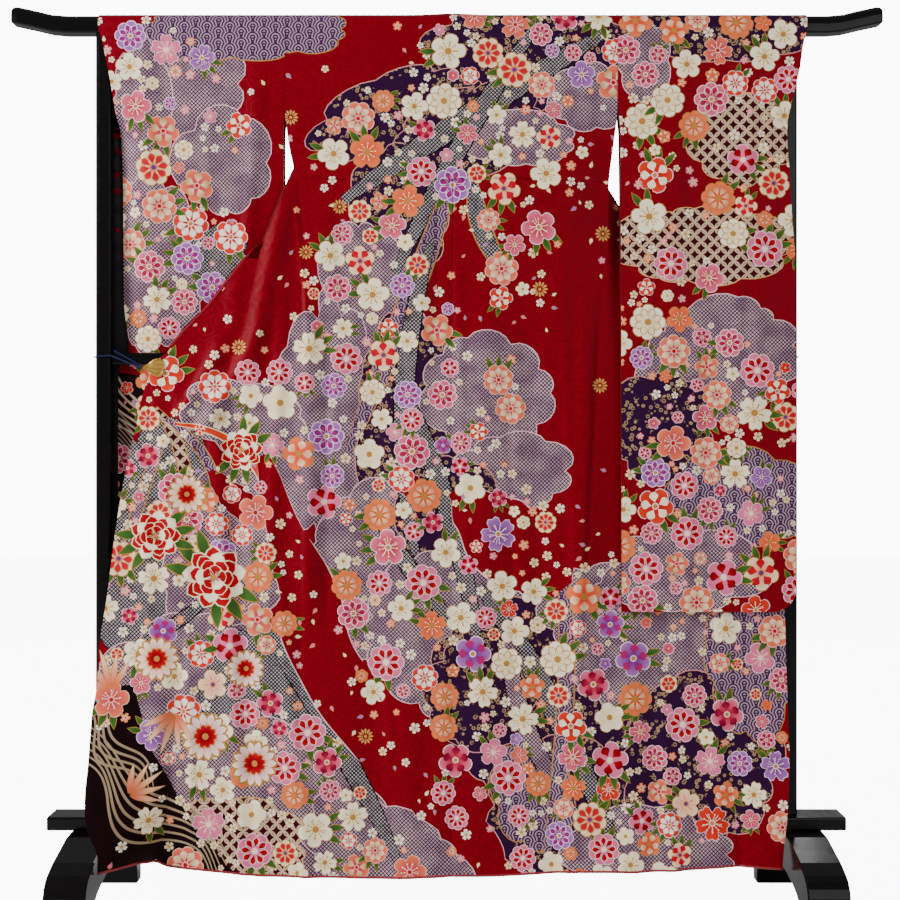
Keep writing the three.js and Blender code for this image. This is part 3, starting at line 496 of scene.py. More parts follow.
class Cloth:
    """Collects the patches of one piece: points, triangles, colours, zones, layout and normals."""

    def __init__(self):
        self.points, self.faces, self.colour, self.zone, self.flat, self.normal = [], [], [], [], [], []
        self.lining = []
        self.count = 0

    def take(self, points, faces, colour, zone, flat, normal, lining):
        """Adds faces; the normals are for each point, or for each corner of each face."""
        self.points.append(points)
        self.faces.append(faces + self.count)
        self.colour.append(np.broadcast_to(colour, (len(faces), 3, 3)))
        self.zone.append(np.broadcast_to(np.asarray(zone, float), len(faces)))
        self.flat.append(flat[faces])
        self.normal.append(normal[faces] if normal.ndim == 2 else normal)
        self.lining.append(np.full(len(faces), lining))
        self.count += len(points)

    def side(self, mapping, way, points2, faces, colour, zone, lining, lift):
        p, n = surface(mapping, points2)
        if lift * way < 0:
            faces = faces[:, ::-1]
            colour = colour[:, ::-1]
        self.take(p + n * lift * way, faces, colour, zone, points2, n * (1 if lift * way > 0 else -1), lining)

    def wall(self, ring, n, flat, thick, colour, zone):
        """The narrow wall along a closed ring of middle points, from the outer face to the inner one."""
        count = len(ring)
        i = np.arange(count)
        j = (i + 1) % count
        faces = np.concatenate([np.stack([i, i + count, j + count], -1), np.stack([i, j + count, j], -1)])
        if thick < 0:
            faces = faces[:, ::-1]
        points = np.concatenate([ring + n * thick, ring - n * thick])
        a, b, c = (points[faces[:, m]] for m in range(3))
        normal = np.repeat(unit(np.cross(b - a, c - a))[:, None], 3, 1)
        self.take(points, faces, colour, zone, np.concatenate([flat, flat]), normal, 1)


def surface(mapping, points2):
    """Points and unit normals of a mapping at flat points."""
    x, q = points2.T
    p = mapping(x, q)
    n = np.cross(mapping(x + WALK, q) - mapping(x - WALK, q), mapping(x, q + WALK) - mapping(x, q - WALK))
    return p, unit(n)


LINING_RED = rgb("7a0512")
LINING_PALE = rgb("d8c3ae")
LINING_PAINTED_SHADE = rgb("12050a")      # painted shade: a near black lining colour for the shade inside the left sleeve, behind the post


def patch(cloth, mapping, domain, design, way, spacing=15, bands=(), lines=(), inner=LINING_PALE):
    """A cut piece of cloth with its printed outer face, its lining and its rim."""
    fill = fill_points(domain, spacing, bands)
    if len(lines):
        lines = np.concatenate(lines)
        fill = np.concatenate([fill, lines[inside(lines, domain)]])
    points2, faces, top = cut(domain, fill, design)
    colours = np.array([design.ground[0]] + design.heart) if design.heart else np.array([design.ground[0]])
    tips = np.array([design.ground[0]] + design.tip) if design.heart else colours
    centres = np.array([[0, 0]] + [list(c) for c in design.centre], float)
    reach = np.array([1.0] + list(design.reach))
    zones = np.array([design.ground[1]] + list(design.zone), float)
    k = top + 1
    corner = points2[faces]
    t = np.clip(np.hypot(*np.moveaxis(corner - centres[k][:, None], -1, 0)) / reach[k][:, None], 0, 1)
    colour = mix(colours[k][:, None], tips[k][:, None], (t**1.3)[..., None])
    cloth.side(mapping, way, points2, faces, colour, zones[k], 0, SKIN)
    fill = fill_points(domain, spacing * 1.4, [(a, b, c * 1.3) for a, b, c in bands])
    if len(lines):
        fill = np.concatenate([fill, lines[inside(lines, domain)]])
    plain2, plain, _ = cut(domain, fill)
    height = plain2[plain][..., 1:2]
    back = mix(LINING_RED, inner, ease((height - 300) / 500))
    cloth.side(mapping, way, plain2, plain, back, SATIN, 1, -SKIN)
    p, n = surface(mapping, domain)
    cloth.wall(p, n, domain, SKIN * way, LINING_RED, PRINT)


def strip(cloth, grid, flat, colour, zone, inner_lining=1):
    """A closed sheet about a grid of middle points, rows by columns, its outer face to the grid's normal."""
    rows, columns = grid.shape[:2]
    n = unit(np.cross(np.gradient(grid, axis=1), np.gradient(grid, axis=0))).reshape(-1, 3)
    index = np.arange(rows * columns).reshape(rows, columns)
    a, b, c, d = index[:-1, :-1], index[:-1, 1:], index[1:, 1:], index[1:, :-1]
    faces = np.concatenate([np.stack([a, b, c], -1).reshape(-1, 3), np.stack([a, c, d], -1).reshape(-1, 3)])
    flat = flat.reshape(-1, 2)
    p = grid.reshape(-1, 3)
    cloth.take(p + n * SKIN, faces, colour, zone, flat, n, 0)
    cloth.take(p - n * SKIN, faces[:, ::-1], colour, zone, flat, -n, inner_lining)
    border = np.concatenate([index[0], index[1:, -1], index[-1, ::-1][1:], index[::-1, 0][1:-1]])
    cloth.wall(p[border], n[border], flat[border], SKIN, colour, zone)


def build(name, cloth, materials):
    """Makes the Blender object of a collected cloth."""
    points = np.concatenate(cloth.points) / 1000
    faces = np.concatenate(cloth.faces)
    mesh = bpy.data.meshes.new(name)
    mesh.vertices.add(len(points))
    mesh.vertices.foreach_set("co", points.ravel())
    mesh.loops.add(len(faces) * 3)
    mesh.loops.foreach_set("vertex_index", faces.ravel().astype(np.int32))
    mesh.polygons.add(len(faces))
    mesh.polygons.foreach_set("loop_start", np.arange(0, len(faces) * 3, 3, dtype=np.int32))
    mesh.update(calc_edges=True)
    colour = np.concatenate(cloth.colour).reshape(-1, 3)
    colour = np.concatenate([colour, np.ones((len(colour), 1))], 1)
    tint = mesh.attributes.new("tint", "FLOAT_COLOR", "CORNER")
    tint.data.foreach_set("color", colour.ravel().astype(np.float32))
    zone = mesh.attributes.new("zone", "FLOAT", "FACE")
    zone.data.foreach_set("value", np.concatenate(cloth.zone).astype(np.float32))
    uv = mesh.uv_layers.new(name="layout")
    uv.data.foreach_set("uv", (np.concatenate(cloth.flat).reshape(-1, 2) / 1000).ravel().astype(np.float32))
    mesh.polygons.foreach_set("material_index", np.concatenate(cloth.lining).astype(np.int32))
    mesh.polygons.foreach_set("use_smooth", np.ones(len(faces), bool))
    for material in materials:
        mesh.materials.append(material)
    mesh.normals_split_custom_set(np.concatenate(cloth.normal).reshape(-1, 3))
    piece = bpy.data.objects.new(name, mesh)
    bpy.context.scene.collection.objects.link(piece)
    return piece


# ---------------------------------------------------------------- outlines of the cut pieces
# Stations of the collar: lengths past the bar's crest, then heights down the rear and the front.
ARCH = [8, 10, 15, 22.7, 30.5]
ARCH_LOW = [42, 60, 88.5]
REAR_LEVELS = [1603, 1545, 1505, 1470, 1450, 1438, 1420, 1395, 1365, 1335]
COLLAR_LEVELS = [1268, 1230, 1180, 1125, 1096]
COLLAR_END = {-1: 1096, 1: 1125}


def levels(low, high, step):
    return np.linspace(low, high, max(2, int(abs(high - low) / step) + 1))


def front_edge(side, z):
    """Outer edge x of the front's flat part."""
    return np.where(z > side.seam_top, side.seam("x", z), fold_end(side, z, 0)[0])


def front_outline(side):
    heights = np.concatenate([levels(SPRING, side.seam_top, 9)[:-1], levels(side.seam_top, 130, 9)])
    outer = front_edge(side, heights)
    keep = heights > side.hem("z", outer) + 4
    foot_x = side.crease("x", side.hem("z", side.crease("x", 110)))
    xs = levels(float(foot_x), CENTRE, 9)
    hem = np.stack([xs, side.hem("z", xs)], -1)
    top = [[CENTRE, CREST], [side.shoulder, CREST]]
    shoulder = np.stack([np.full(4, side.shoulder), levels(CREST, SPRING, 9)[:4]], -1)
    edge = np.stack([outer[keep], heights[keep]], -1)
    return loop_points([top, shoulder, edge, hem, [[CENTRE, SPRING]]], 9)


def rear_outline(side):
    outer_q = np.concatenate([levels(CREST, SPRING, 6), levels(SPRING - 4, side.crossing + 3, 9)])
    turned = turn_point(side, np.minimum(outer_q, SPRING - 0.1), 1.0)[:, 0]
    outer_x = np.where(outer_q > SPRING - 0.01, side.shoulder, turned)
    arch, neck = side.inner.key[-1], CREST - NECK_START
    inner_q = np.concatenate([levels(side.crossing + 3, arch, 9), levels(arch + 4, neck - 12, 6),
                              levels(neck - 10, neck, 1.0)])
    inner_x = inner_edge(side, inner_q)[:, 0]
    middle = CENTRE + side.sign * GAP / 2
    outer, inner = np.stack([outer_x, outer_q], -1), np.stack([inner_x, inner_q], -1)
    return loop_points([outer, inner, [[middle, CREST]]], 8)


def overlap_outline(side):
    s = side.sign
    heights = levels(COLLAR_LEVELS[0], 118, 9)
    inner = side.crease("x", heights) - s * 2.5
    outer = np.where(heights > side.clip_top, side.fold("x", heights) - s * 7.2, side.edge("x", heights))
    low_in = inner[heights > side.hem("z", inner) + 3]
    low_out = outer[heights > side.hem("z", outer) + 3]
    xs = levels(float(low_in[-1]), float(low_out[-1]), 9)
    inner, outer = (np.stack([edge, heights[: len(edge)]], -1) for edge in (low_in, low_out))
    return loop_points([inner, np.stack([xs, side.hem("z", xs)], -1), outer[::-1]], 9)


def sleeve_outline(sleeve, rear):
    s = sleeve.sign
    column = "back" if rear else "x"
    corner_top = SLEEVE_BOTTOM + SLEEVE_CORNER
    heights = np.concatenate([levels(CREST, SPRING, 6), levels(SPRING - 6, corner_top + 1, 10)])
    outer = sleeve.outer(column, np.minimum(heights, 1735))
    inner = np.where(heights > SPRING, sleeve.shoulder, sleeve.inner("x", heights))
    base = float(sleeve.outer(column, corner_top))
    turn = levels(0, np.pi / 2, 0.12)
    corner = np.stack([base - s * SLEEVE_CORNER * (1 - np.cos(turn)),
                       corner_top - SLEEVE_CORNER * np.sin(turn)], -1)
    low_in = float(sleeve.inner("x", SLEEVE_BOTTOM))
    return loop_points([np.stack([inner, heights], -1)[::-1], np.stack([outer, heights], -1), corner,
                        [[low_in, SLEEVE_BOTTOM]]], 10)


def refine(grid, times):
    """Smoothly adds rows between the rows of a grid."""
    rows = len(grid)
    before = np.concatenate([2 * grid[:1] - grid[1:2], grid, 2 * grid[-1:] - grid[-2:-1]])
    out = []
    for i in range(rows - 1):
        p0, p1, p2, p3 = before[i], before[i + 1], before[i + 2], before[i + 3]
        d1 = np.linalg.norm(p2 - p1, axis=-1, keepdims=True) + 1e-6
        d0 = np.linalg.norm(p1 - p0, axis=-1, keepdims=True) + 1e-6
        d2 = np.linalg.norm(p3 - p2, axis=-1, keepdims=True) + 1e-6
        m1 = d1 * ((p1 - p0) / d0 * d1 + (p2 - p1) / d1 * d0) / (d0 + d1)
        m2 = d1 * ((p2 - p1) / d1 * d2 + (p3 - p2) / d2 * d1) / (d1 + d2)
        for k in range(times):
            t = k / times
            out.append((1 + 2 * t) * (1 - t) ** 2 * p1 + t * (1 - t) ** 2 * m1
                       + t * t * (3 - 2 * t) * p2 + t * t * (t - 1) * m2)
    out.append(grid[-1])
    return np.array(out)


def behind_bar(x, past):
    past = np.asarray(past, float)
    on = over_bar(x, np.pi / 2 * (1 + np.minimum(past, QUARTER) / QUARTER))
    below = np.stack(np.broadcast_arrays(x, BAR_DEPTH + CLEAR, SPRING - (past - QUARTER)), -1)
    return np.where((past > QUARTER)[..., None], below, on)


def collar_grid(shares):
    stations = []
    for side in (LEFT, RIGHT):
        s = side.sign
        half = [(neck_edge(side, past), past, 0.7, 0.0, 2 * GAP) for past in ARCH[1:]]

        def add(p, turn, gap):
            half.append((p[0], QUARTER + SPRING - p[2], p[1] - BAR_DEPTH - CLEAR, turn, gap))

        for past in ARCH_LOW:
            add(inner_edge(side, SPRING + QUARTER - past), 0.0, 2 * GAP)
        for z in REAR_LEVELS + [side.crossing]:
            turn = np.pi / 2 * float(ease((1345 - z) / 45))
            edge = inner_edge(side, z)
            edge[1] += 2 * turn
            add(edge, turn, 1.2 + 1.2 * turn)
        z = side.crossing - 12
        bent = on_front(side, side.fold("x", z) + s * 3.2, z)
        bent[1] += 6
        add(bent, 2.2, 0.0)
        for z in COLLAR_LEVELS:
            if z >= COLLAR_END[s]:
                add(on_front(side, side.fold("x", z) - s * 6, z), np.pi, 0.0)
        stations += half[::-1] + [(CENTRE, ARCH[0], 0.7, 0.0, 2 * GAP)] if s < 0 else half
    flat = np.array([[a, b] for a, b, *_ in stations], float)
    lift, turn, gap = (np.array([row[i] for row in stations]) for i in (2, 3, 4))
    ahead = np.concatenate([flat[1:], flat[-1:]]) - np.concatenate([flat[:1], flat[:-1]])
    size = np.hypot(*ahead.T)
    wide = np.stack([-ahead[:, 1], ahead[:, 0]], -1) / size[:, None]
    grid = []
    for share in shares:
        along, up = bend(turn, COLLAR_TURN, share * COLLAR)
        shift = along + gap
        p = behind_bar(flat[:, 0] + wide[:, 0] * shift, flat[:, 1] + wide[:, 1] * shift)
        p[:, 1] += lift + up
        grid.append(p)
    return np.stack(grid, 1)


# ---------------------------------------------------------------- materials
class Nodes:
    """A material's node tree, with short calls for the arithmetic of its pattern."""

    def __init__(self, name):
        self.material = bpy.data.materials.new(name)
        self.material.use_nodes = True
        self.tree = self.material.node_tree
        self.shader = self.tree.nodes["Principled BSDF"]

    def node(self, kind, **settings):
        node = self.tree.nodes.new("ShaderNode" + kind)
        for key, value in settings.items():
            setattr(node, key, value)
        return node

    def link(self, value, socket):
        if isinstance(value, (int, float)):
            socket.default_value = value
        elif isinstance(value, (tuple, list, np.ndarray)):
            value = tuple(float(v) for v in value)
            socket.default_value = value + (1.0,) * (len(socket.default_value) - len(value))
        else:
            self.tree.links.new(value, socket)

    def math(self, operation, a, b=None, c=None, clamp=False):
        node = self.node("Math", operation=operation, use_clamp=clamp)
        for value, socket in zip((a, b, c), node.inputs):
            if value is not None:
                self.link(value, socket)
        return node.outputs[0]

    plus, minus = partialmethod(math, "ADD"), partialmethod(math, "SUBTRACT")
    times, over = partialmethod(math, "MULTIPLY"), partialmethod(math, "DIVIDE")
    sine, size = partialmethod(math, "SINE"), partialmethod(math, "ABSOLUTE")
    highest = partialmethod(math, "MAXIMUM")

    def away(self, x, y):
        """Distance of a place from the middle of its cell."""
        return self.math("SQRT", self.plus(self.times(x, x), self.times(y, y)))

    def place(self):
        return self.node("TexCoord").outputs["Object"]

    def blend(self, factor, a, b, how="MIX"):
        node = self.node("Mix", data_type="RGBA", blend_type=how)
        self.link(factor, node.inputs[0])
        self.link(a, node.inputs[6])
        self.link(b, node.inputs[7])
        return node.outputs[2]

    def noise(self, vector, scale, detail=2.0, rough=0.5):
        node = self.node("TexNoise")
        if vector is not None:
            self.link(vector, node.inputs["Vector"])
        node.inputs["Scale"].default_value = scale
        node.inputs["Detail"].default_value = detail
        node.inputs["Roughness"].default_value = rough
        return node.outputs["Fac"]

    def ramp(self, value, low, high, start=0.0, end=1.0):
        node = self.node("MapRange", clamp=True)
        for socket, number in zip(node.inputs, (value, low, high, start, end)):
            self.link(number, socket)
        return node.outputs[0]

    def set(self, **values):
        for key, value in values.items():
            self.link(value, self.shader.inputs[key.replace("_", " ")])

    def bump(self, height, strength, distance):
        node = self.node("Bump")
        node.inputs["Strength"].default_value = strength
        node.inputs["Distance"].default_value = distance
        self.link(height, node.inputs["Height"])
        self.link(node.outputs[0], self.shader.inputs["Normal"])


# Spans of the print's small figures, in metres, and the weave's threads as an angle for each metre.
DOT_SPAN, RING_SPAN, WAVE_SPAN, THREADS = 0.0074, 0.025, 0.044, 5200


def cell(n, value):
    """Distance from the middle of a unit cell, -0.5 to 0.5."""
    return n.minus(n.math("FRACT", value), 0.5)


def printed_silk(name):
    n = Nodes(name)
    layout = n.node("UVMap", uv_map="layout").outputs[0]
    split = n.node("SeparateXYZ")
    n.link(layout, split.inputs[0])
    p, q = split.outputs[0], split.outputs[1]
    tint = n.node("Attribute", attribute_name="tint").outputs["Color"]
    zone = n.node("Attribute", attribute_name="zone").outputs["Fac"]

    def of(k):
        return n.math("COMPARE", zone, float(k), 0.4)

    # woven figure of the red ground: flowing scrolls along the levels of a soft noise
    drift = n.noise(layout, 17, 2.0)
    figure = n.ramp(n.size(n.sine(n.times(drift, 34))), 0.45, 0.75)
    satin = n.blend(n.times(figure, 0.32), tint, n.blend(1.0, tint, (0.66, 0.55, 0.55), "MULTIPLY"))
    # kanoko: a lattice of tied dots on slanting rows
    a = cell(n, n.over(n.plus(p, q), DOT_SPAN))
    b = cell(n, n.over(n.minus(p, q), DOT_SPAN))
    far = n.highest(n.size(a), n.size(b))
    uneven = n.noise(layout, 320, 0)
    dot = n.ramp(n.plus(far, n.times(uneven, 0.16)), 0.44, 0.34)
    eye = n.ramp(far, 0.13, 0.07)
    shade = n.noise(layout, 22, 1)
    pale = n.blend(n.ramp(shade, 0.38, 0.62), (0.44, 0.31, 0.36), (0.80, 0.60, 0.60))
    lattice = n.blend(n.times(dot, 0.9), tint, pale)
    lattice = n.blend(eye, lattice, n.blend(0.6, tint, (0.03, 0.01, 0.04)))
    # night ground: small gold specks and a faint figure
    flock = n.node("TexVoronoi")
    n.link(layout, flock.inputs["Vector"])
    flock.inputs["Scale"].default_value = 105
    away = flock.outputs["Distance"]
    bloom = n.times(n.ramp(away, 0.44, 0.38), n.ramp(away, 0.2, 0.26))
    bloom = n.highest(bloom, n.ramp(away, 0.1, 0.06))
    speck = n.times(bloom, n.ramp(n.noise(layout, 24, 0), 0.42, 0.48))
    night = n.blend(n.times(speck, 0.8), tint, (0.42, 0.27, 0.13))
    # linked rings
    ring = None
    for shift in (0.0, 0.5):
        x = cell(n, n.plus(n.over(p, RING_SPAN), shift))
        y = cell(n, n.plus(n.over(q, RING_SPAN), shift))
        away = n.away(x, y)
        line = n.ramp(n.size(n.minus(away, 0.44)), 0.075, 0.045)
        ring = line if ring is None else n.highest(ring, line)
    rings = n.blend(n.times(ring, 0.85), tint, (0.66, 0.46, 0.30))
    # overlapping waves: the nearest lower scale on top
    waves_in = None
    for k in (2, 1, 0):
        row = n.math("FLOOR", n.over(q, WAVE_SPAN * 0.25))
        low = n.minus(row, float(k))
        odd = n.math("FRACT", n.times(low, 0.5))
        x = cell(n, n.plus(n.over(p, WAVE_SPAN), odd))
        y = n.minus(n.over(q, WAVE_SPAN), n.times(low, 0.25))
        away = n.away(x, y)
        arcs = n.ramp(n.sine(n.times(away, 50.0)), 0.0, 0.35)
        cover = n.math("LESS_THAN", away, 0.5)
        if waves_in is None:
            waves_in = arcs
        else:
            waves_in = n.plus(n.times(arcs, cover), n.times(waves_in, n.minus(1.0, cover)))
    waves = n.blend(n.times(waves_in, 0.75), tint, (0.46, 0.34, 0.39))
    # grey tied bands: cloudy stripes
    band = n.noise(layout, 48, 3, 0.6)
    tied = n.blend(n.ramp(n.times(band, dot), 0.15, 0.45), tint, (0.42, 0.38, 0.40))
    colour = tint
    for k, value in ((SATIN, satin), (KANOKO, lattice), (NIGHT, night), (RINGS, rings), (WAVES, waves),
                     (SHIBORI, tied)):
        colour = n.blend(of(k), colour, value)
    cloudy = n.noise(layout, 7, 2)
    colour = n.blend(1.0, colour, n.blend(cloudy, (0.90, 0.90, 0.90), (1.06, 1.05, 1.05)), "MULTIPLY")
    n.set(Base_Color=colour)
    thread = n.noise(layout, 900, 0)
    rough = n.plus(0.40, n.times(thread, 0.14))
    woven = n.times(figure, of(SATIN))
    rough = n.minus(rough, n.times(woven, 0.10))
    n.set(Roughness=rough, Specular_IOR_Level=0.11)
    n.set(Specular_Tint=(1.0, 0.30, 0.27, 1.0))
    weave = n.times(n.times(n.sine(n.times(p, THREADS)), n.sine(n.times(q, THREADS))), 0.08)
    crepe = n.times(n.noise(layout, 240, 2), 0.5)
    knots = n.times(n.times(dot, n.plus(of(KANOKO), of(SHIBORI))), 0.8)
    height = n.plus(n.plus(weave, crepe), n.plus(knots, n.times(woven, 0.35)))
    n.bump(height, 0.55, 0.0006)
    return n.material


def lining_silk(name):
    n = Nodes(name)
    layout = n.node("UVMap", uv_map="layout").outputs[0]
    tint = n.node("Attribute", attribute_name="tint").outputs["Color"]
    fine = n.noise(layout, 30, 2)
    n.set(Base_Color=n.blend(1.0, tint, n.blend(fine, (0.86, 0.86, 0.86), (1.05, 1.04, 1.03)), "MULTIPLY"))
    n.set(Roughness=n.ramp(n.noise(layout, 600, 0), 0, 1, 0.45, 0.6), Sheen_Weight=0.1, Sheen_Roughness=0.4,
          Specular_IOR_Level=0.2)
    n.bump(n.noise(layout, 700, 1), 0.3, 0.0004)
    return n.material


def rolled_silk(name):
    n = Nodes(name)
    where = n.place()
    tone = n.noise(where, 24, 2)
    n.set(Base_Color=n.blend(tone, rgb("7a0614"), rgb("960c1a")), Roughness=n.ramp(tone, 0, 1, 0.42, 0.58),
          Sheen_Weight=0.12)
    n.bump(n.noise(where, 420, 1), 0.4, 0.0006)
    return n.material


def lacquer(name):
    n = Nodes(name)
    where = n.place()
    tone = n.noise(where, 3.2, 3)
    worn = n.noise(where, 46, 4, 0.6)
    n.set(Base_Color=n.blend(tone, (0.0018, 0.0016, 0.0020), (0.0045, 0.0036, 0.0040)),
          Roughness=n.ramp(worn, 0.3, 0.75, 0.12, 0.26), Coat_Weight=0.06, Coat_Roughness=0.05,
          Specular_IOR_Level=0.12)
    n.bump(n.noise(where, 14, 2), 0.05, 0.002)
    return n.material


def gilt(name):
    n = Nodes(name)
    where = n.place()
    tone = n.noise(where, 160, 3)
    n.set(Base_Color=n.blend(tone, rgb("8f6722"), rgb("cba252")), Metallic=0.85,
          Roughness=n.ramp(tone, 0.3, 0.7, 0.24, 0.42))
    n.bump(n.noise(where, 500, 2), 0.2, 0.0005)
    return n.material


def cord_silk(name):
    n = Nodes(name)
    where = n.place()
    tone = n.noise(where, 300, 2)
    n.set(Base_Color=n.blend(tone, rgb("0b1034"), rgb("1a2256")), Roughness=0.6, Specular_IOR_Level=0.2)
    n.bump(n.noise(where, 900, 1), 0.5, 0.0006)
    return n.material


SILK = printed_silk("printed_silk")
LINING = lining_silk("lining_silk")
ROLL_RED = rolled_silk("rolled_silk")
LACQUER = lacquer("lacquer_black")
GILT = gilt("gilt_metal_fan")
CORD = cord_silk("cord_silk_plait")

# ---------------------------------------------------------------- motifs
GOLD, CREAM, WHITE, LILAC, PLUM = "b27c3a", "f6e0b4", "fbf0dc", "a66cb2", "6a1f80"
PINK, ROSE, CORAL, SALMON, RED, DEEP = "e06c8c", "b8204f", "d93a20", "ea7448", "b40418", "640210"
LEAF, MOSS, NIGHT_BLACK, AUBERGINE, WINE, SLATE = "416b2c", "0a2a10", "0b0609", "350f36", "340711", "171416"
GROUND_RED, PALE_EDGE, WOVEN_GOLD = "790318", "e3b3bc", "c9964f"
# The last water colour is dimmed: painted shade on the left sleeve's foot behind the middle bar.
WATER, WATER_PALE, WATER_IN_PAINTED_SHADE = "9a8468", "b39a84", "8d7766"


def petals(x, z, radius, count, turn=0.0, base=0.6, notch=0.0, sides=6):
    """Outline of a flower with round petals, each with a notch at its tip."""
    t = np.tile(np.linspace(-1, 1, sides, endpoint=False), count)
    angle = turn + (np.repeat(np.arange(count), sides) + t / 2) * 2 * np.pi / count
    r = radius * (base + (1 - base) * (1 - np.abs(t) ** 3) - notch * np.maximum(0, 1 - np.abs(t) / 0.25))
    return np.stack([x + r * np.cos(angle), z + r * np.sin(angle)], -1)


def disc(x, z, radius, count=8, turn=0.0):
    angle = turn + np.arange(count) * 2 * np.pi / count
    return np.stack([x + radius * np.cos(angle), z + radius * np.sin(angle)], -1)


def blade(x, z, turn, start, length, width, bulge=0.45, points=5):
    """A pointed leaf or a petal from a distance out along a direction."""
    t = np.linspace(0, 1, points)
    half = width / 2 * np.sin(np.pi * t ** (0.69 / -np.log(bulge)) if bulge != 0.5 else np.pi * t)
    along = start + length * t
    up = np.stack([along, half], -1)
    down = np.stack([along[::-1], -half[::-1]], -1)[1:-1]
    p = np.concatenate([up, down])
    c, s = math.cos(turn), math.sin(turn)
    return np.stack([x + p[:, 0] * c - p[:, 1] * s, z + p[:, 0] * s + p[:, 1] * c], -1)


def stamens(art, x, z, radius, count, turn, colour=GOLD):
    for k in range(count):
        a = turn + (k + 0.5) * 2 * math.pi / count
        art.add(blade(x, z, a, radius * 0.12, radius * 0.34, radius * 0.05, 0.5, 3), colour, zone=INK)
        away = radius * 0.48
        art.add(disc(x + away * math.cos(a), z + away * math.sin(a), radius * 0.055, 4, a), colour, zone=INK)


# The styles of blossom: outline, outer petals' heart and tip, inner petals' heart and tip, eye, share.
STYLES = (
    ("e9b0a0", ROSE, SALMON, GOLD, CREAM, RED, 12),
    ("f3c2c8", PINK, "d2688c", DEEP, RED, CREAM, 13),
    (GOLD, "ee8a70", CREAM, RED, "c81030", PLUM, 12),
    (GOLD, CORAL, SALMON, CREAM, CORAL, GOLD, 10),
    ("f7d3d6", RED, PINK, DEEP, ROSE, GOLD, 13),
    ("f0cfe2", PLUM, LILAC, ROSE, PLUM, GOLD, 7),
    (GOLD, "f3dfa4", WHITE, CREAM, CREAM, GOLD, 20),
    ("f3c2c8", RED, CORAL, CREAM, WHITE, GOLD, 8),
)
SHARES = np.array([style[-1] for style in STYLES], float) / sum(style[-1] for style in STYLES)


def leaves(art, x, z, radius, turn, count=3, spread=0.55):
    for k in range(count):
        a = turn + (k - (count - 1) / 2) * spread
        art.add(blade(x, z, a, radius * 0.62, radius * 1.0, radius * 0.42, 0.42), GOLD, zone=INK)
        art.add(blade(x, z, a, radius * 0.66, radius * 0.92, radius * 0.34, 0.42), MOSS, LEAF,
                (x, z), radius * 1.6, INK)


def blossom(art, x, z, radius, style):
    """A blossom of round or notched petals, or a rosette with a ring of drops inside."""
    random = art.random
    turn = random.uniform(0, 2 * math.pi)
    line, heart, tip, inner_heart, inner_tip, eye, _ = style
    plain = inner_tip in (CREAM, WHITE) and tip == WHITE
    shape = random.choice(4, p=(0.45, 0.2, 0.2, 0.15) if plain else (0.12, 0.1, 0.2, 0.58))
    edge = max(1.0, radius * 0.05)
    if radius > 18 and random.rand() < 0.62:
        leaves(art, x, z, radius, random.uniform(0, 2 * math.pi), 2 + random.randint(2))
    count = 5 if shape < 3 else 8 if radius > 21 else 6
    notch = 0.13 if shape == 1 else 0.0
    base = (0.68, 0.58, 0.62, 0.86)[shape]
    art.add(petals(x, z, radius, count, turn, base, notch), line, zone=INK)
    art.add(petals(x, z, radius - edge, count, turn, base - 0.02, notch), heart, tip, (x, z), radius)
    if radius > 12:
        if shape == 3:
            for k in range(count):
                a = turn + (k + 0.5) * 2 * math.pi / count
                wide = radius * 1.05 * math.tan(math.pi / count)
                art.add(blade(x, z, a, radius * 0.17, radius * 0.62, wide, 0.64, 6), line, zone=INK)
                art.add(blade(x, z, a, radius * 0.2, radius * 0.55, wide * 0.76, 0.64, 5),
                        inner_heart, inner_tip, (x, z), radius * 0.75)
        elif shape == 2:
            for k in range(5):
                a = turn + (k + 0.5) * 2 * math.pi / 5
                art.add(blade(x, z, a, radius * 0.2, radius * 0.58, radius * 0.5, 0.62, 6),
                        inner_tip, inner_heart, (x, z), radius * 0.8)
        else:
            for k in range(5):
                a = turn + k * 2 * math.pi / 5
                art.add(blade(x, z, a, radius * 0.18, radius * 0.46, radius * 0.05, 0.5, 3), line, zone=INK)
            stamens(art, x, z, radius, 5 if radius < 22 else 9, turn, GOLD if plain else CREAM)
    art.add(disc(x, z, radius * 0.19, 8), line, zone=INK)
    art.add(disc(x, z, radius * 0.13, 6), eye, zone=INK)


def sakura(art, x, z, radius):
    turn = art.random.uniform(0, 2 * math.pi)
    tone = (WHITE, CREAM, CREAM, PINK, SALMON, WHITE)[art.random.randint(6)]
    art.add(petals(x, z, radius, 5, turn, 0.42, 0.12), GOLD if tone in (WHITE, CREAM) else CREAM, tone,
            (x, z), radius * 0.6, INK)
    art.add(disc(x, z, radius * 0.2, 5), GOLD if tone != SALMON else RED, zone=INK)


def wheel(art, x, z, radius, outer, inner, line=GOLD, count=14):
    """A chrysanthemum of two rings of narrow petals."""
    turn = art.random.uniform(0, 1)
    art.add(petals(x, z, radius, count, turn, 0.86), line, zone=INK)
    for k in range(count):
        a = turn + k * 2 * math.pi / count
        wide = 2 * math.pi * radius * 0.8 / count * 0.86
        art.add(blade(x, z, a, radius * 0.2, radius * 0.76, wide, 0.66, 6), outer, WHITE, (x, z), radius)
    art.add(petals(x, z, radius * 0.5, count - 4, turn + 0.2, 0.8), line, zone=INK)
    art.add(petals(x, z, radius * 0.45, count - 4, turn + 0.2, 0.78), DEEP, inner, (x, z), radius * 0.45)
    art.add(disc(x, z, radius * 0.14, 8), GOLD, zone=INK)


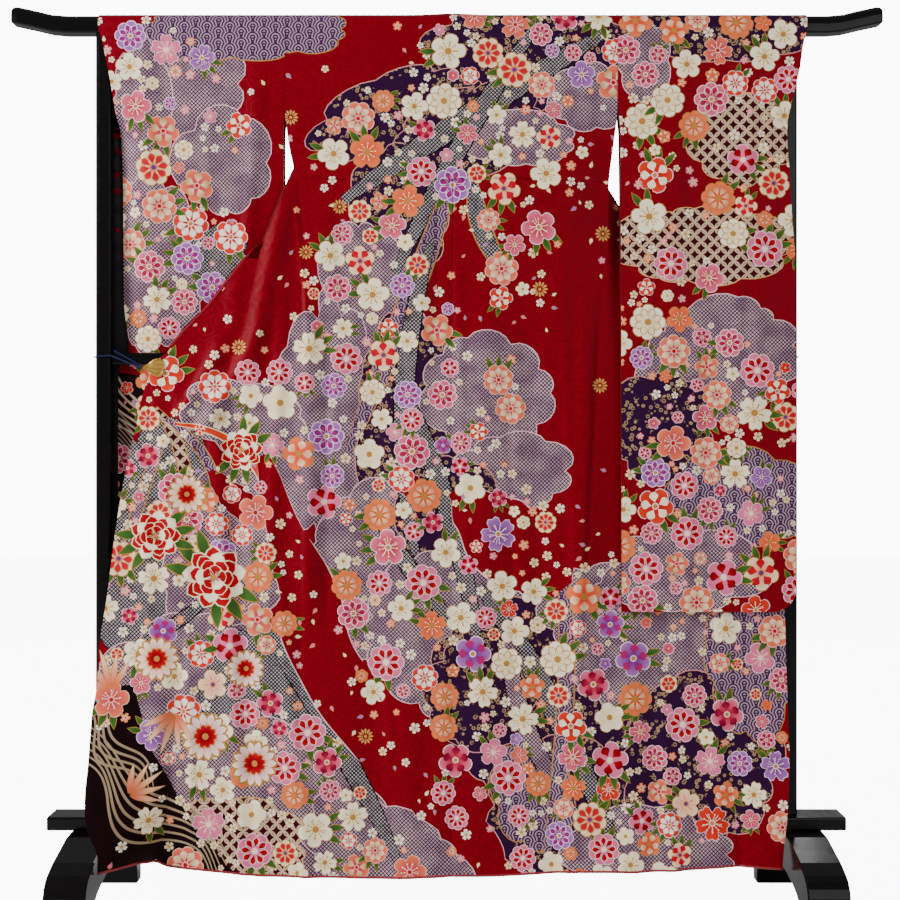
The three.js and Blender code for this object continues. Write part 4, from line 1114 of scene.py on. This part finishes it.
def peony(art, x, z, radius, turn=0.0):
    """Four rings of red petals, each edged in cream."""
    leaves(art, x, z, radius, turn + 2.2, 3, 0.5)
    leaves(art, x, z, radius, turn - 1.2, 3, 0.5)
    for ring, (share, count) in enumerate(((1.0, 9), (0.8, 8), (0.6, 6), (0.4, 5))):
        r = radius * share
        for k in range(count):
            a = turn + ring * 0.4 + k * 2 * math.pi / count
            wide = 2 * math.pi * r * 0.72 / count * 1.12
            fold = (CREAM, WHITE) if (k * 3 + ring) % 4 == 0 else (DEEP, RED)
            art.add(blade(x, z, a, r * 0.15, r * 0.85, wide, 0.68, 7), CREAM, zone=INK)
            art.add(blade(x, z, a, r * 0.17, r * 0.79, wide * 0.84, 0.68, 7), *fold, (x, z), r)
    stamens(art, x, z, radius * 0.42, 9, turn)
    art.add(disc(x, z, radius * 0.1, 8), GOLD, zone=INK)


def kiku(art, x, z, radius):
    """A small gold woven chrysanthemum on the ground."""
    for k in range(12):
        petal = blade(x, z, k * math.pi / 6, radius * 0.3, radius * 0.7, radius * 0.28, 0.6, 4)
        art.add(petal, WOVEN_GOLD, zone=INK)
    art.add(disc(x, z, radius * 0.2, 6), WOVEN_GOLD, zone=INK)


def bamboo(art, x, z, size, turn, tone, tip):
    for k in range(5):
        a = turn + (k - 2) * 0.42
        less = 0.1 * abs(k - 2)
        art.add(blade(x, z, a, size * 0.05, size * (1 - less), size * 0.17, 0.42, 6), GOLD, zone=INK)
        art.add(blade(x, z, a, size * 0.08, size * (0.94 - less), size * 0.13, 0.42, 6), tone, tip,
                (x, z), size, INK)


def cloud_outline(random, x, z, wide, high, slant, grow=0.0):
    """A long rounded shape with uneven scallops."""
    count = max(7, int((wide + high) / 46))
    cuts = np.cumsum(random.uniform(0.45, 1.6, count))
    cuts = cuts / cuts[-1] * 2 * np.pi
    starts = np.concatenate([[0], cuts[:-1]])
    points = []
    reach = random.uniform(0.84, 1.02, count + 1)
    reach[-1] = reach[0]
    for k, (a, b) in enumerate(zip(starts, cuts)):
        for t in np.linspace(0, 1, 6, endpoint=False):
            phi = mix(a, b, t)
            bump = math.sin(math.pi * t) ** 0.7
            r = mix(reach[k], reach[k + 1], t) - 0.02 + 0.22 * bump * (b - a) / 1.2
            points.append([(wide / 2 * r + grow) * math.cos(phi), (high / 2 * r + grow) * math.sin(phi)])
    p = np.array(points)
    c, s = math.cos(math.radians(slant)), math.sin(math.radians(slant))
    return np.stack([x + p[:, 0] * c - p[:, 1] * s, z + p[:, 0] * s + p[:, 1] * c], -1)


# A cloud's ground and its outline.
GROUNDS = {KANOKO: (AUBERGINE, PALE_EDGE), WAVES: ("3c1a44", GOLD), NIGHT: ("260a30", "c98a80"),
           RINGS: (WINE, "d8a06a"), SHIBORI: (SLATE, "120c12")}


def cloud(art, x, z, wide, high, slant, kind):
    state = art.random.get_state()
    tint, line = GROUNDS[kind]
    art.add(cloud_outline(art.random, x, z, wide, high, slant, 2.0), line, zone=INK)
    art.random.set_state(state)
    art.add(cloud_outline(art.random, x, z, wide, high, slant), tint, zone=kind)


def smooth_line(rows, steps, rounds):
    """Shares along a line, its softened points with what goes along with them, and the way across it."""
    share = np.linspace(0, 1, len(rows) * steps)
    line = np.stack([np.interp(share, np.linspace(0, 1, len(rows)), column) for column in rows.T], -1)
    for _ in range(rounds):
        line[1:-1] = (line[:-2] + 2 * line[1:-1] + line[2:]) / 4
    ahead = np.gradient(line[:, :2], axis=0)
    ahead /= np.hypot(*ahead.T)[:, None]
    return share, line, np.stack([-ahead[:, 1], ahead[:, 0]], -1)


def band(art, points, width, colour, zone=INK):
    """A flowing ribbon along a smooth line, with narrow ends."""
    share, line, side = smooth_line(points, 4, 3)
    half = width / 2 * np.sin(np.pi * np.clip(share, 0.04, 0.96)) ** 0.4
    outline = np.concatenate([line + side * half[:, None], (line - side * half[:, None])[::-1]])
    art.add(outline, colour, zone=zone)


def flow(art, start, end, lines, swing, gap, colour):
    """Lines of running water beside each other."""
    start, end = np.asarray(start, float), np.asarray(end, float)
    ahead = (end - start) / np.hypot(*(end - start))
    side = np.array([-ahead[1], ahead[0]])
    for k in range(lines):
        t = np.linspace(0, 1, 15)
        wave = swing * np.sin(2 * np.pi * (t * 1.5 + 0.03 * k)) * (1 - 0.12 * k)
        line = start + (end - start) * t[:, None] + side * (wave + (k - lines / 2) * gap)[:, None]
        band(art, line, 4.6, colour)


# ---------------------------------------------------------------- the layout, in millimetres
# Clouds: middle, width, height, slant in degrees, texture. Belts of blossoms: two ends and half width.
FRONT_CLOUDS = (
    (-285, 1710, 175, 85, 0, WAVES), (190, 1645, 440, 210, -6, NIGHT),
    (-100, 1550, 345, 145, 22, NIGHT), (45, 1515, 290, 175, 20, NIGHT),
    (275, 1580, 155, 125, 0, KANOKO), (140, 1495, 210, 95, 0, KANOKO), (-90, 1360, 175, 250, 16, NIGHT),
    (-140, 1150, 210, 365, 14, KANOKO), (-225, 960, 210, 480, -2, KANOKO),
    (-80, 940, 190, 500, 0, NIGHT), (85, 1010, 250, 225, 0, KANOKO), (125, 860, 230, 140, 0, KANOKO),
    (-120, 670, 290, 365, -14, KANOKO), (5, 765, 210, 250, 0, NIGHT), (15, 535, 385, 325, -26, KANOKO),
    (180, 420, 440, 385, -20, NIGHT), (65, 440, 210, 210, 0, NIGHT), (295, 595, 230, 175, 0, KANOKO),
    (225, 210, 290, 290, -20, NIGHT), (160, 245, 155, 210, 10, WAVES), (390, 535, 325, 325, 10, KANOKO),
    (485, 305, 325, 345, -15, NIGHT), (390, 130, 325, 175, 0, KANOKO), (585, 495, 175, 290, 0, WAVES),
    (-390, 960, 230, 135, -16, KANOKO), (-545, 690, 325, 555, 4, SHIBORI),
    (-425, 690, 230, 405, -8, KANOKO), (-495, 380, 460, 405, 0, KANOKO),
    (-350, 440, 250, 250, -20, SHIBORI), (-300, 225, 405, 270, -30, KANOKO),
    (-110, 130, 325, 175, -26, KANOKO), (-420, 150, 305, 175, 0, RINGS),
)
SLEEVES_CLOUDS = (
    (-505, 1605, 230, 175, 0, KANOKO), (-435, 1455, 175, 190, 0, KANOKO),
    (-410, 1700, 365, 105, 0, WAVES), (-590, 1535, 115, 290, 0, KANOKO),
    (-570, 1255, 210, 345, 0, KANOKO), (-445, 1285, 115, 95, 0, SHIBORI),
    (-550, 860, 290, 210, 0, NIGHT), (-475, 690, 290, 210, 0, SHIBORI), (525, 1700, 385, 105, 0, NIGHT),
    (570, 1495, 215, 175, 0, RINGS), (485, 1295, 345, 155, 0, RINGS), (380, 1650, 95, 155, 0, KANOKO),
    (525, 1075, 325, 230, 10, KANOKO), (410, 940, 210, 210, 0, NIGHT), (565, 805, 290, 190, -8, WAVES),
    (450, 670, 325, 155, 0, KANOKO),
)
REAR_CLOUDS = (
    (-475, 1505, 290, 210, 0, KANOKO), (-515, 1190, 290, 270, 0, KANOKO),
    (-435, 880, 325, 210, 0, NIGHT), (-535, 690, 290, 175, 0, SHIBORI),
    (-225, 1650, 230, 135, 0, KANOKO), (-130, 1475, 175, 175, 0, NIGHT),
    (-245, 1380, 175, 135, 0, SHIBORI), (140, 1650, 290, 155, 0, WAVES),
    (235, 1455, 210, 175, 0, KANOKO), (565, 1495, 290, 210, 0, RINGS), (485, 1190, 325, 250, 0, KANOKO),
    (565, 900, 305, 210, 0, NIGHT), (450, 690, 305, 175, 0, KANOKO),
)
FRONT_BELTS = (
    (5, 1690, 325, 1705, 40), (295, 1650, 65, 1575, 70), (45, 1610, -90, 1535, 50),
    (-90, 1565, -195, 1495, 40), (65, 1495, 220, 1455, 40), (45, 1450, -50, 1400, 40),
    (-70, 1400, -140, 1315, 50), (-140, 1315, -90, 1210, 50), (-195, 1295, -245, 1130, 30),
    (-90, 1190, -185, 1055, 55), (-50, 1130, -35, 995, 60), (-15, 960, 65, 860, 40),
    (100, 1035, 110, 960, 20), (-165, 995, -225, 840, 45), (-265, 1090, -285, 1035, 20),
    (-90, 920, -120, 765, 65), (-35, 840, -15, 745, 40), (85, 795, 180, 765, 25),
    (-150, 725, -165, 610, 50), (-70, 650, -150, 535, 35), (-15, 630, 45, 535, 60),
    (140, 805, 100, 725, 20), (100, 670, 220, 535, 65), (-90, 515, -130, 460, 25),
    (-50, 440, 5, 380, 40), (45, 460, 140, 420, 65), (220, 440, 295, 305, 70), (65, 305, 180, 225, 50),
    (220, 225, 295, 110, 45), (5, 225, 45, 150, 20), (160, 130, 220, 95, 25), (295, 610, 370, 460, 70),
    (370, 420, 485, 245, 90), (295, 190, 390, 95, 60), (485, 610, 605, 495, 60),
    (565, 380, 620, 225, 50), (90, 1370, 140, 1305, 40), (130, 1285, 120, 1210, 25),
    (-535, 1045, -475, 960, 40), (-445, 1025, -340, 1015, 40), (-390, 960, -310, 920, 40),
    (-610, 995, -590, 940, 25), (-570, 870, -495, 765, 50), (-380, 805, -360, 690, 35),
    (-610, 765, -610, 610, 45), (-455, 690, -400, 575, 65), (-350, 575, -320, 535, 25),
    (-570, 515, -495, 440, 65), (-630, 460, -650, 420, 25), (-475, 420, -380, 285, 75),
    (-320, 380, -285, 305, 60), (-550, 345, -515, 305, 30), (-535, 190, -455, 130, 35),
    (-420, 210, -300, 150, 60), (-225, 225, -205, 130, 50), (-150, 110, -90, 110, 25),
)
SLEEVES_BELTS = (
    (-620, 1690, -550, 1670, 25), (-535, 1670, -475, 1650, 25), (-610, 1590, -535, 1475, 45),
    (-550, 1475, -495, 1350, 45), (-610, 1380, -570, 1285, 40), (-570, 1285, -495, 1210, 40),
    (-455, 1285, -420, 1305, 25), (-610, 1190, -570, 1110, 40), (-445, 1525, -425, 1515, 25),
    (-570, 1055, -420, 920, 60), (-590, 840, -475, 690, 70), (-420, 805, -380, 630, 50),
    (370, 1700, 640, 1690, 40), (470, 1640, 525, 1580, 35), (390, 1590, 470, 1555, 35),
    (380, 1515, 410, 1440, 30), (610, 1610, 660, 1565, 40), (575, 1455, 660, 1400, 40),
    (525, 1380, 640, 1305, 40), (390, 1325, 450, 1265, 40), (470, 1245, 370, 1150, 40),
    (390, 1110, 620, 995, 65), (485, 940, 390, 725, 75), (565, 805, 640, 630, 60),
    (370, 650, 485, 630, 50),
)
REAR_BELTS = (
    (-620, 1700, -350, 1690, 40), (-590, 1535, -495, 1265, 60), (-550, 1130, -420, 960, 65),
    (-570, 840, -435, 650, 70), (-285, 1670, -50, 1650, 55), (-225, 1555, -130, 1340, 55),
    (65, 1670, 295, 1650, 55), (180, 1555, 255, 1380, 55), (370, 1670, 660, 1670, 45),
    (410, 1535, 565, 1325, 65), (450, 1150, 585, 940, 70), (390, 840, 585, 630, 75),
)
# Red ground that runs between the printed grounds: x, z and half width along each run.
RIVERS = (
    ((-355, 890, 35), (-320, 765, 45), (-275, 650, 60), (-250, 535, 65), (-195, 420, 65),
     (-120, 325, 50), (-35, 245, 50), (65, 150, 50), (100, 75, 45)),
    ((15, 825, 40), (85, 745, 75), (170, 690, 90), (220, 630, 60)),
    ((-90, 860, 20), (-60, 815, 25)),
    ((-455, 860, 15), (-410, 805, 30), (-355, 765, 30)),
)
# Radius of the large blossoms, and the share of the tries up to which each is drawn.
SIZES = ((34.0, 0.08), (29.0, 0.2), (24.5, 0.36), (19.0, 0.5), (13.5, 0.6))


def in_belts(x, z, belts, grow):
    """How deep a place lies inside the belts, in millimetres."""
    ax, az, bx, bz, half = (belts[:, i] for i in range(5))
    dx, dz = bx - ax, bz - az
    t = np.clip(((x - ax) * dx + (z - az) * dz) / np.maximum(dx * dx + dz * dz, 1e-6), 0, 1)
    away = np.hypot(x - ax - t * dx, z - az - t * dz)
    return float((half + grow - away).max())


def scatter(art, belts, box, tries=5200):
    """Blossoms of falling size, thrown into the belts where they find room."""
    random = art.random
    belts = np.array(belts, float)
    low_x, high_x, low_z, high_z = box
    found = np.zeros((0, 3))
    for n in range(tries):
        done = n / tries
        radius = next((size for size, until in SIZES if done < until), 0) * random.uniform(0.86, 1.06)
        if not radius:
            break
        x, z = random.uniform(low_x, high_x), random.uniform(low_z, high_z)
        if in_belts(x, z, belts, 4 if radius > 15 else 12) < 0:
            continue
        if len(found) and (np.hypot(found[:, 0] - x, found[:, 1] - z) < 0.9 * (found[:, 2] + radius)).any():
            continue
        found = np.concatenate([found, [[x, z, radius]]])
    small = []
    for _ in range(tries):
        radius = random.uniform(6.0, 11.0)
        x, z = random.uniform(low_x, high_x), random.uniform(low_z, high_z)
        depth = in_belts(x, z, belts, 26)
        if depth < 0 or random.rand() > (0.3 if depth < 22 else 0.75):
            continue
        if (np.hypot(found[:, 0] - x, found[:, 1] - z) < 0.92 * (found[:, 2] + radius)).any():
            continue
        found = np.concatenate([found, [[x, z, radius]]])
        small.append((x, z, radius))
    for x, z, radius in small:
        sakura(art, x, z, radius)
    big = found[: len(found) - len(small)]
    for x, z, radius in big[random.permutation(len(big))]:
        blossom(art, x, z, radius, STYLES[random.choice(len(STYLES), p=SHARES)])


def river(art, rows):
    """A run of the red ground with an uneven scalloped edge between two printed grounds."""
    t, line, side = smooth_line(np.array(rows, float), 7, 8)
    middle = line[:, :2]
    edges = []
    for way in (1, -1):
        lobe = np.abs(np.sin(t * len(rows) * 2.1 + 1.3 * way + 1.2 * np.sin(t * 9 + way)))
        half = line[:, 2] * np.sin(np.pi * np.clip(t, 0.02, 0.98)) ** 0.3 * (1.12 - 0.2 * lobe)
        edges.append(middle + way * side * half[:, None])
    grounds = [polygon for polygon, zone in zip(art.polygons, art.zone) if zone in GROUNDS]
    printed = [np.any([inside(edge, polygon) for polygon in grounds], axis=0) for edge in edges]
    for share, tone, zone in ((1.0, PALE_EDGE, INK), (0.965, art.ground[0], SATIN)):
        # The pale line shows only where the edge cuts through a printed ground.
        left, right = (middle + (edge - middle) * np.where(on, share, min(share, 0.96))[:, None]
                       for edge, on in zip(edges, printed))
        art.add(np.concatenate([left, right[::-1]]), tone, zone=zone)


def on_river(x, z):
    """Whether a place lies on one of the runs of red ground."""
    for run in RIVERS:
        at_x, at_z, half = np.array(run, float).T
        if np.min(np.hypot(x - at_x, z - at_z) - half) < 10:
            return True
    return False


def stray(art, clouds, belts, box, kikus, flakes):
    """Gold chrysanthemums and falling petals on the open ground."""
    random = art.random
    belts = np.array(belts, float)
    spots = []
    low_x, high_x, low_z, high_z = box
    for _ in range(6000):
        x, z = random.uniform(low_x, high_x), random.uniform(low_z, high_z)
        over = any(abs(x - cx) < w / 2 + 10 and abs(z - cz) < h / 2 + 10 for cx, cz, w, h, *_ in clouds)
        depth = in_belts(x, z, belts, 0)
        if depth > -14 or (over and not on_river(x, z)):
            continue
        near = min([np.hypot(x - a, z - b) for a, b in spots], default=999)
        if len(spots) < kikus and near > 105 and depth < -30:
            kiku(art, x, z, random.uniform(14, 16.5))
        elif kikus <= len(spots) < kikus + flakes and near > 20 and random.rand() < math.exp(depth / 45):
            a = random.uniform(0, 6.28)
            size = random.uniform(7, 15)
            if size < 10:
                sakura(art, x, z, size)
            else:
                art.add(blade(x, z, a, 0, size, size * 0.6, 0.62, 5), GOLD, zone=INK)
                tone = (CREAM, CREAM, PINK, LILAC)[random.randint(4)]
                art.add(blade(x, z, a, 1, size - 2, size * 0.5, 0.62, 5), tone, zone=INK)
        else:
            continue
        spots.append((x, z))


def whole_print(seed, clouds, belts, box, kikus, flakes, under=None, over=None):
    """One design: grounds, what lies under the blossoms, the blossoms, what lies over them."""
    art = Print(GROUND_RED, SATIN, seed)
    for row in clouds:
        cloud(art, *row)
    if under:
        under(art)
    if belts is FRONT_BELTS:
        for run in RIVERS:
            river(art, run)
    scatter(art, belts, box)
    if over:
        over(art)
    stray(art, clouds, belts, box, kikus, flakes)
    return art


def ribbons(art, rows):
    """Long tied-dyed ribbons with dark or gold edges, each bending through its middle point."""
    for x0, z0, x1, z1, x2, z2, wide, kind, edge in rows:
        t = np.linspace(0, 1, 12)[:, None]
        line = (1 - t) ** 2 * [[x0, z0]] + 2 * t * (1 - t) * [[x1, z1]] + t * t * [[x2, z2]]
        band(art, line, wide + 5, edge)
        band(art, line, wide, GROUNDS[kind][0] if kind in GROUNDS else CORAL, zone=kind)


BACK_RIBBONS = (
    # ends and bending point x, z; width, texture, edge
    (300, 1700, 60, 1560, -200, 1380, 44, SHIBORI, NIGHT_BLACK),
    (180, 1730, 20, 1500, -100, 1240, 34, SHIBORI, NIGHT_BLACK),
    (10, 1420, -60, 1200, -190, 900, 40, WAVES, GOLD),
    (52, 1415, 50, 1330, 112, 1240, 36, SHIBORI, GOLD),
    (-30, 1300, -120, 1000, -60, 700, 36, SHIBORI, NIGHT_BLACK),
    (-100, 1050, 20, 800, 60, 520, 36, SHIBORI, NIGHT_BLACK),
    (60, 640, 190, 480, 330, 120, 42, SHIBORI, NIGHT_BLACK),
    (-150, 800, -60, 640, 20, 560, 30, SHIBORI, NIGHT_BLACK),
    (120, 560, 110, 380, 250, 200, 34, KANOKO, NIGHT_BLACK),
    (220, 700, 250, 420, 190, 130, 30, WAVES, GOLD),
    (-330, 520, -220, 380, -90, 110, 36, SHIBORI, NIGHT_BLACK),
)
WING_RIBBONS = (
    (-560, 980, -480, 900, -500, 700, 22, RINGS, GOLD),
    (-540, 960, -400, 880, -430, 640, 18, WAVES, GOLD),
    (-520, 950, -360, 940, -330, 760, 12, INK, CREAM),
    (-540, 930, -600, 800, -630, 640, 20, KANOKO, GOLD),
    (-430, 640, -520, 560, -600, 520, 22, SHIBORI, NIGHT_BLACK),
)


def back_under(art):
    wing_under(art)
    ribbons(art, BACK_RIBBONS)


def wing_under(art):
    """Black water corner of the wing's foot and the ribbons that cross the wing."""
    art.add([(-720, 440), (-600, 452), (-560, 330), (-480, 180), (-400, 95), (-400, 40), (-720, 40)],
            NIGHT_BLACK, zone=INK)
    flow(art, (-700, 350), (-420, 110), 6, 30, 13, WATER)
    flow(art, (-690, 430), (-560, 260), 4, 20, 12, WATER)
    ribbons(art, WING_RIBBONS)


WING_FLOWERS = (
    # kind, x, z, size, turn
    ("peony", -447, 655, 62, 0.2), ("peony", -560, 735, 50, 1.4), ("peony", -395, 900, 42, 2.2),
    ("wheel", -556, 500, 42, 0), ("wheel", -462, 352, 46, 0), ("wheel", -368, 300, 44, 0),
    ("wheel", -500, 815, 38, 0), ("wheel", -386, 480, 36, 0), ("bamboo", -640, 440, 78, 1.9),
    ("bamboo", -520, 400, 80, 4.4), ("bamboo", -600, 250, 70, 0.6),
)


def wing_over(art):
    for kind, x, z, size, turn in WING_FLOWERS:
        if kind == "peony":
            peony(art, x, z, size, turn)
        elif kind == "wheel":
            wheel(art, x, z, size, SALMON if x < -480 else PINK, RED)
        else:
            bamboo(art, x, z, size, turn, CORAL, CREAM)


def sleeve_under(art):
    """Black ground with water at the foot of the left sleeve: the sleeve's printed water ground, also
    standing for painted shade below the middle bar, with dimmed water lines as painted shade.
    """
    art.add([(-720, 1062), (-560, 1040), (-300, 930), (-300, 560), (-720, 560)], NIGHT_BLACK, zone=INK)
    flow(art, (-700, 1090), (-560, 900), 6, 14, 11, WATER_PALE)
    flow(art, (-680, 960), (-330, 640), 9, 24, 10, WATER_IN_PAINTED_SHADE)
    flow(art, (-690, 760), (-420, 590), 5, 18, 10, WATER_IN_PAINTED_SHADE)


# ---------------------------------------------------------------- the pieces
FINE = 15
BANDS = [(SPRING - 6, CREST + 1, 5.0)]      # closer points over the bar

FRONT_ART = whole_print(11, FRONT_CLOUDS, FRONT_BELTS, (-690, 690, 80, 1755), 22, 170, back_under, wing_over)
REAR_ART = whole_print(23, REAR_CLOUDS, REAR_BELTS, (-690, 690, 580, 1755), 14, 60)
SLEEVE_ART = whole_print(37, SLEEVES_CLOUDS, SLEEVES_BELTS, (-700, 700, 580, 1755), 12, 90, sleeve_under)


def finish_cloth(name, cloth, nodes):
    piece = build(name, cloth, [SILK, LINING])
    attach(piece, "root")
    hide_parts(*nodes)
    return piece


def seam_points(side):
    """Extra points beside the seams and the waist tuck, where the cloth turns sharply."""
    z = levels(side.seam_top - 4, 130, 8)
    lines = [np.stack([side.seam("x", z) + off, z], -1) for off in (-8, -4, 0, 4, 8)]
    z = levels(1690, 100, 9)
    lines += [np.stack([np.full(len(z), CENTRE + side.sign * off), z], -1) for off in (3, 7, 12)]
    x = levels(CENTRE, side.sign * 300, 10)
    lines += [np.stack([x, tuck_line(x) + off], -1) for off in (-3, -0.6, 0.6, 4, 10, 20)]
    return lines


def fold_points(rows):
    """Extra points along the narrow folds, so that they keep their form."""
    lines = []
    for at, slant, width, _, low, high in rows:
        z = levels(high + 60, low - 60, 13)
        if width < 19:
            lines += [np.stack([at + slant * (z - 900) + share * width, z], -1)
                      for share in (-1.5, -0.8, 0, 0.8, 1.5)]
    return lines


def fold_strip(side):
    """The turn along the slanting fold, from the flat front to the leaf behind."""
    heights = levels(TURN_START[side.sign], side.crossing - 22, 6)
    shares = np.linspace(0, 1, 9)
    grid = np.stack([turn_point(side, heights, share) for share in shares], 1)
    across = grid[..., 0] + side.sign * 8 * shares[None]
    return grid, np.stack([across, np.broadcast_to(heights[:, None], grid.shape[:2])], -1)


for side, tag in ((LEFT, "left"), (RIGHT, "right")):
    cloth = Cloth()
    patch(cloth, lambda x, q, s=side: body_point(s, x, q), front_outline(side), FRONT_ART, 1, FINE, BANDS,
          seam_points(side) + fold_points(BODY_FOLDS))
    patch(cloth, lambda x, q, s=side: rear_point(s, x, q), rear_outline(side), REAR_ART, -1, FINE, BANDS)
    grid, flat = fold_strip(side)
    if side.sign > 0:
        grid, flat = grid[::-1], flat[::-1]
    # The fold's turn is a darker red than the ground: painted shade along the fold's edge.
    strip(cloth, grid, flat, rgb("560110"), SATIN)
    finish_cloth("furisode_body_" + tag, cloth, ["body_" + tag])
    cloth = Cloth()
    patch(cloth, lambda x, q, s=side: overlap_point(s, x, q), overlap_outline(side), FRONT_ART, 1, FINE,
          lines=fold_points(BODY_FOLDS))
    finish_cloth("furisode_overlap_" + tag, cloth, ["overlap_" + tag])

for sleeve, tag in ((SLEEVE_LEFT, "left"), (SLEEVE_RIGHT, "right")):
    cloth = Cloth()
    patch(cloth, lambda x, q, s=sleeve: sleeve_point(s, x, q, False), sleeve_outline(sleeve, False),
          SLEEVE_ART, 1, FINE, BANDS, fold_points(SLEEVE_FOLDS), inner=LINING_RED)
    # The left sleeve's rear layer has its lining painted near black: painted shade behind the post.
    patch(cloth, lambda x, q, s=sleeve: sleeve_point(s, x, q, True), sleeve_outline(sleeve, True),
          REAR_ART, -1, FINE, BANDS, inner=LINING_PAINTED_SHADE if sleeve.sign < 0 else LINING_RED)
    finish_cloth("furisode_sleeve_" + tag, cloth, ["sleeve_" + tag])

cloth = Cloth()
shares = np.array([0, 0.04, 0.08, 0.12, 0.16, 0.2, 0.24, 0.28, 0.33, 0.4, 0.5, 0.62, 0.76, 0.88, 1])
grid = refine(collar_grid(shares), 5)
run = np.concatenate([[0], np.cumsum(np.linalg.norm(np.diff(grid[:, 7], axis=0), axis=1))])
flat = np.stack(np.broadcast_arrays(shares[None] * COLLAR, run[:, None]), -1)
strip(cloth, grid, flat, rgb(GROUND_RED), SATIN, inner_lining=0)
finish_cloth("furisode_collar", cloth, ["collar"])


def tube(name, path, radius, material, ring=10):
    """A smooth round tube through points, in millimetres, with closed ends."""
    path = np.asarray(path, float)
    ahead = unit(np.gradient(path, axis=0))
    up = np.where(np.abs(ahead[:, 2:3]) > 0.8, [[0.0, 1.0, 0.0]], [[0.0, 0.0, 1.0]])
    across = unit(np.cross(up, ahead))
    over = np.cross(ahead, across)
    angle = np.linspace(0, 2 * np.pi, ring, endpoint=False)[None, :, None]
    points = path[:, None] + radius * (np.cos(angle) * across[:, None] + np.sin(angle) * over[:, None])
    points = points.reshape(-1, 3)
    index = np.arange(len(points)).reshape(-1, ring)
    turn = np.roll(index, -1, 1)
    quads = np.stack([index[:-1], turn[:-1], turn[1:], index[1:]], -1).reshape(-1, 4).tolist()
    quads += [index[0][::-1].tolist(), index[-1].tolist()]
    mesh = bpy.data.meshes.new(name)
    mesh.from_pydata((points / 1000).tolist(), [], quads)
    mesh.polygons.foreach_set("use_smooth", np.ones(len(mesh.polygons), bool))
    mesh.materials.append(material)
    piece = bpy.data.objects.new(name, mesh)
    bpy.context.scene.collection.objects.link(piece)
    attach(piece, "root")
    return piece


for side, tag in ((LEFT, "left"), (RIGHT, "right")):
    s = side.sign
    middle = CENTRE + s * GAP / 2
    seam = float(side.seam("x", 92))
    crease = float(side.crease("x", 112))
    edge = float(side.edge("x", 125))
    for part, start, end in (("back", middle, seam), ("front", seam, crease), ("overlap", crease, edge)):
        xs = levels(start - s * 0.4, end + s * 0.4, 8)
        line = on_front(side, xs, side.hem("z", xs))
        line[:, 2] -= ROLL - 0.6
        roll = tube(f"furisode_hem_{part}_{tag}", line, ROLL, ROLL_RED, 12)
        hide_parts(f"hem_{part}_{tag}")

# ---------------------------------------------------------------- the stand, clips and cords
FINISH = ((LACQUER, ("top_bar", "post_left", "post_right", "mid_bar", "low_beam", "foot_left", "foot_right")),
          (GILT, ("clip_left", "clip_left_plate", "clip_right", "clip_right_plate")),
          (CORD, ("cord_left", "cord_right")))
for material, names in FINISH:
    for name in names:
        for slot in bpy.data.objects[name].material_slots:
            slot.material = material

# ---------------------------------------------------------------- floor, light and camera
SKY = (0.97, 0.975, 0.98, 1)
LIGHT = 0.34                    # strength of the sky as light
SKY_SEEN, FLOOR_SEEN = 11.0, 9.5      # brightness to camera rays alone, for the white background


def floor():
    mesh = bpy.data.meshes.new("floor")
    mesh.from_pydata([(-9, -9, 0), (9, -9, 0), (9, 9, 0), (-9, 9, 0)], [], [(0, 1, 2, 3)])
    piece = bpy.data.objects.new("floor", mesh)
    bpy.context.scene.collection.objects.link(piece)
    n = Nodes("floor_pale")
    tone = n.noise(n.place(), 3, 2)
    n.set(Base_Color=n.blend(tone, (0.80, 0.80, 0.80), (0.84, 0.84, 0.84)), Roughness=0.75)
    glow = n.times(n.node("LightPath").outputs["Is Camera Ray"], FLOOR_SEEN)
    n.set(Emission_Strength=glow, Emission_Color=SKY)
    mesh.materials.append(n.material)


floor()
world = bpy.data.worlds.new("studio")
bpy.context.scene.world = world
world.use_nodes = True
nodes, links = world.node_tree.nodes, world.node_tree.links
background, seen = nodes["Background"], nodes.new("ShaderNodeBackground")
for node, strength in ((background, LIGHT), (seen, SKY_SEEN)):
    node.inputs["Color"].default_value = SKY
    node.inputs["Strength"].default_value = strength
path, choice = nodes.new("ShaderNodeLightPath"), nodes.new("ShaderNodeMixShader")
links.new(path.outputs["Is Camera Ray"], choice.inputs[0])
links.new(background.outputs[0], choice.inputs[1])
links.new(seen.outputs[0], choice.inputs[2])
links.new(choice.outputs[0], nodes["World Output"].inputs[0])


def lamp(name, place, aim, size, watts):
    data = bpy.data.lights.new(name, "AREA")
    data.shape = "RECTANGLE"
    data.size, data.size_y = size
    data.energy = watts
    light = bpy.data.objects.new(name, data)
    light.location = place
    light.rotation_euler = (Vector(aim) - Vector(place)).to_track_quat("-Z", "Y").to_euler()
    bpy.context.scene.collection.objects.link(light)


lamp("key", (-3.6, -2.0, 2.6), (0, 0, 0.9), (1.0, 1.6), 250)
lamp("fill", (2.4, -3.8, 2.0), (0, 0, 0.9), (2.4, 2.4), 48)
lamp("rear", (0.6, 3.4, 2.6), (0, 0, 1.0), (2.4, 2.0), 80)

view = bpy.data.cameras.new("camera")
view.lens = 55.68
view.sensor_width = 36.0
camera = bpy.data.objects.new("camera", view)
camera.location = (0.0058, -2.7, 0.9)
camera.rotation_euler = (math.pi / 2, 0, 0)
bpy.context.scene.collection.objects.link(camera)
bpy.context.scene.camera = camera

bpy.context.view_layer.update()
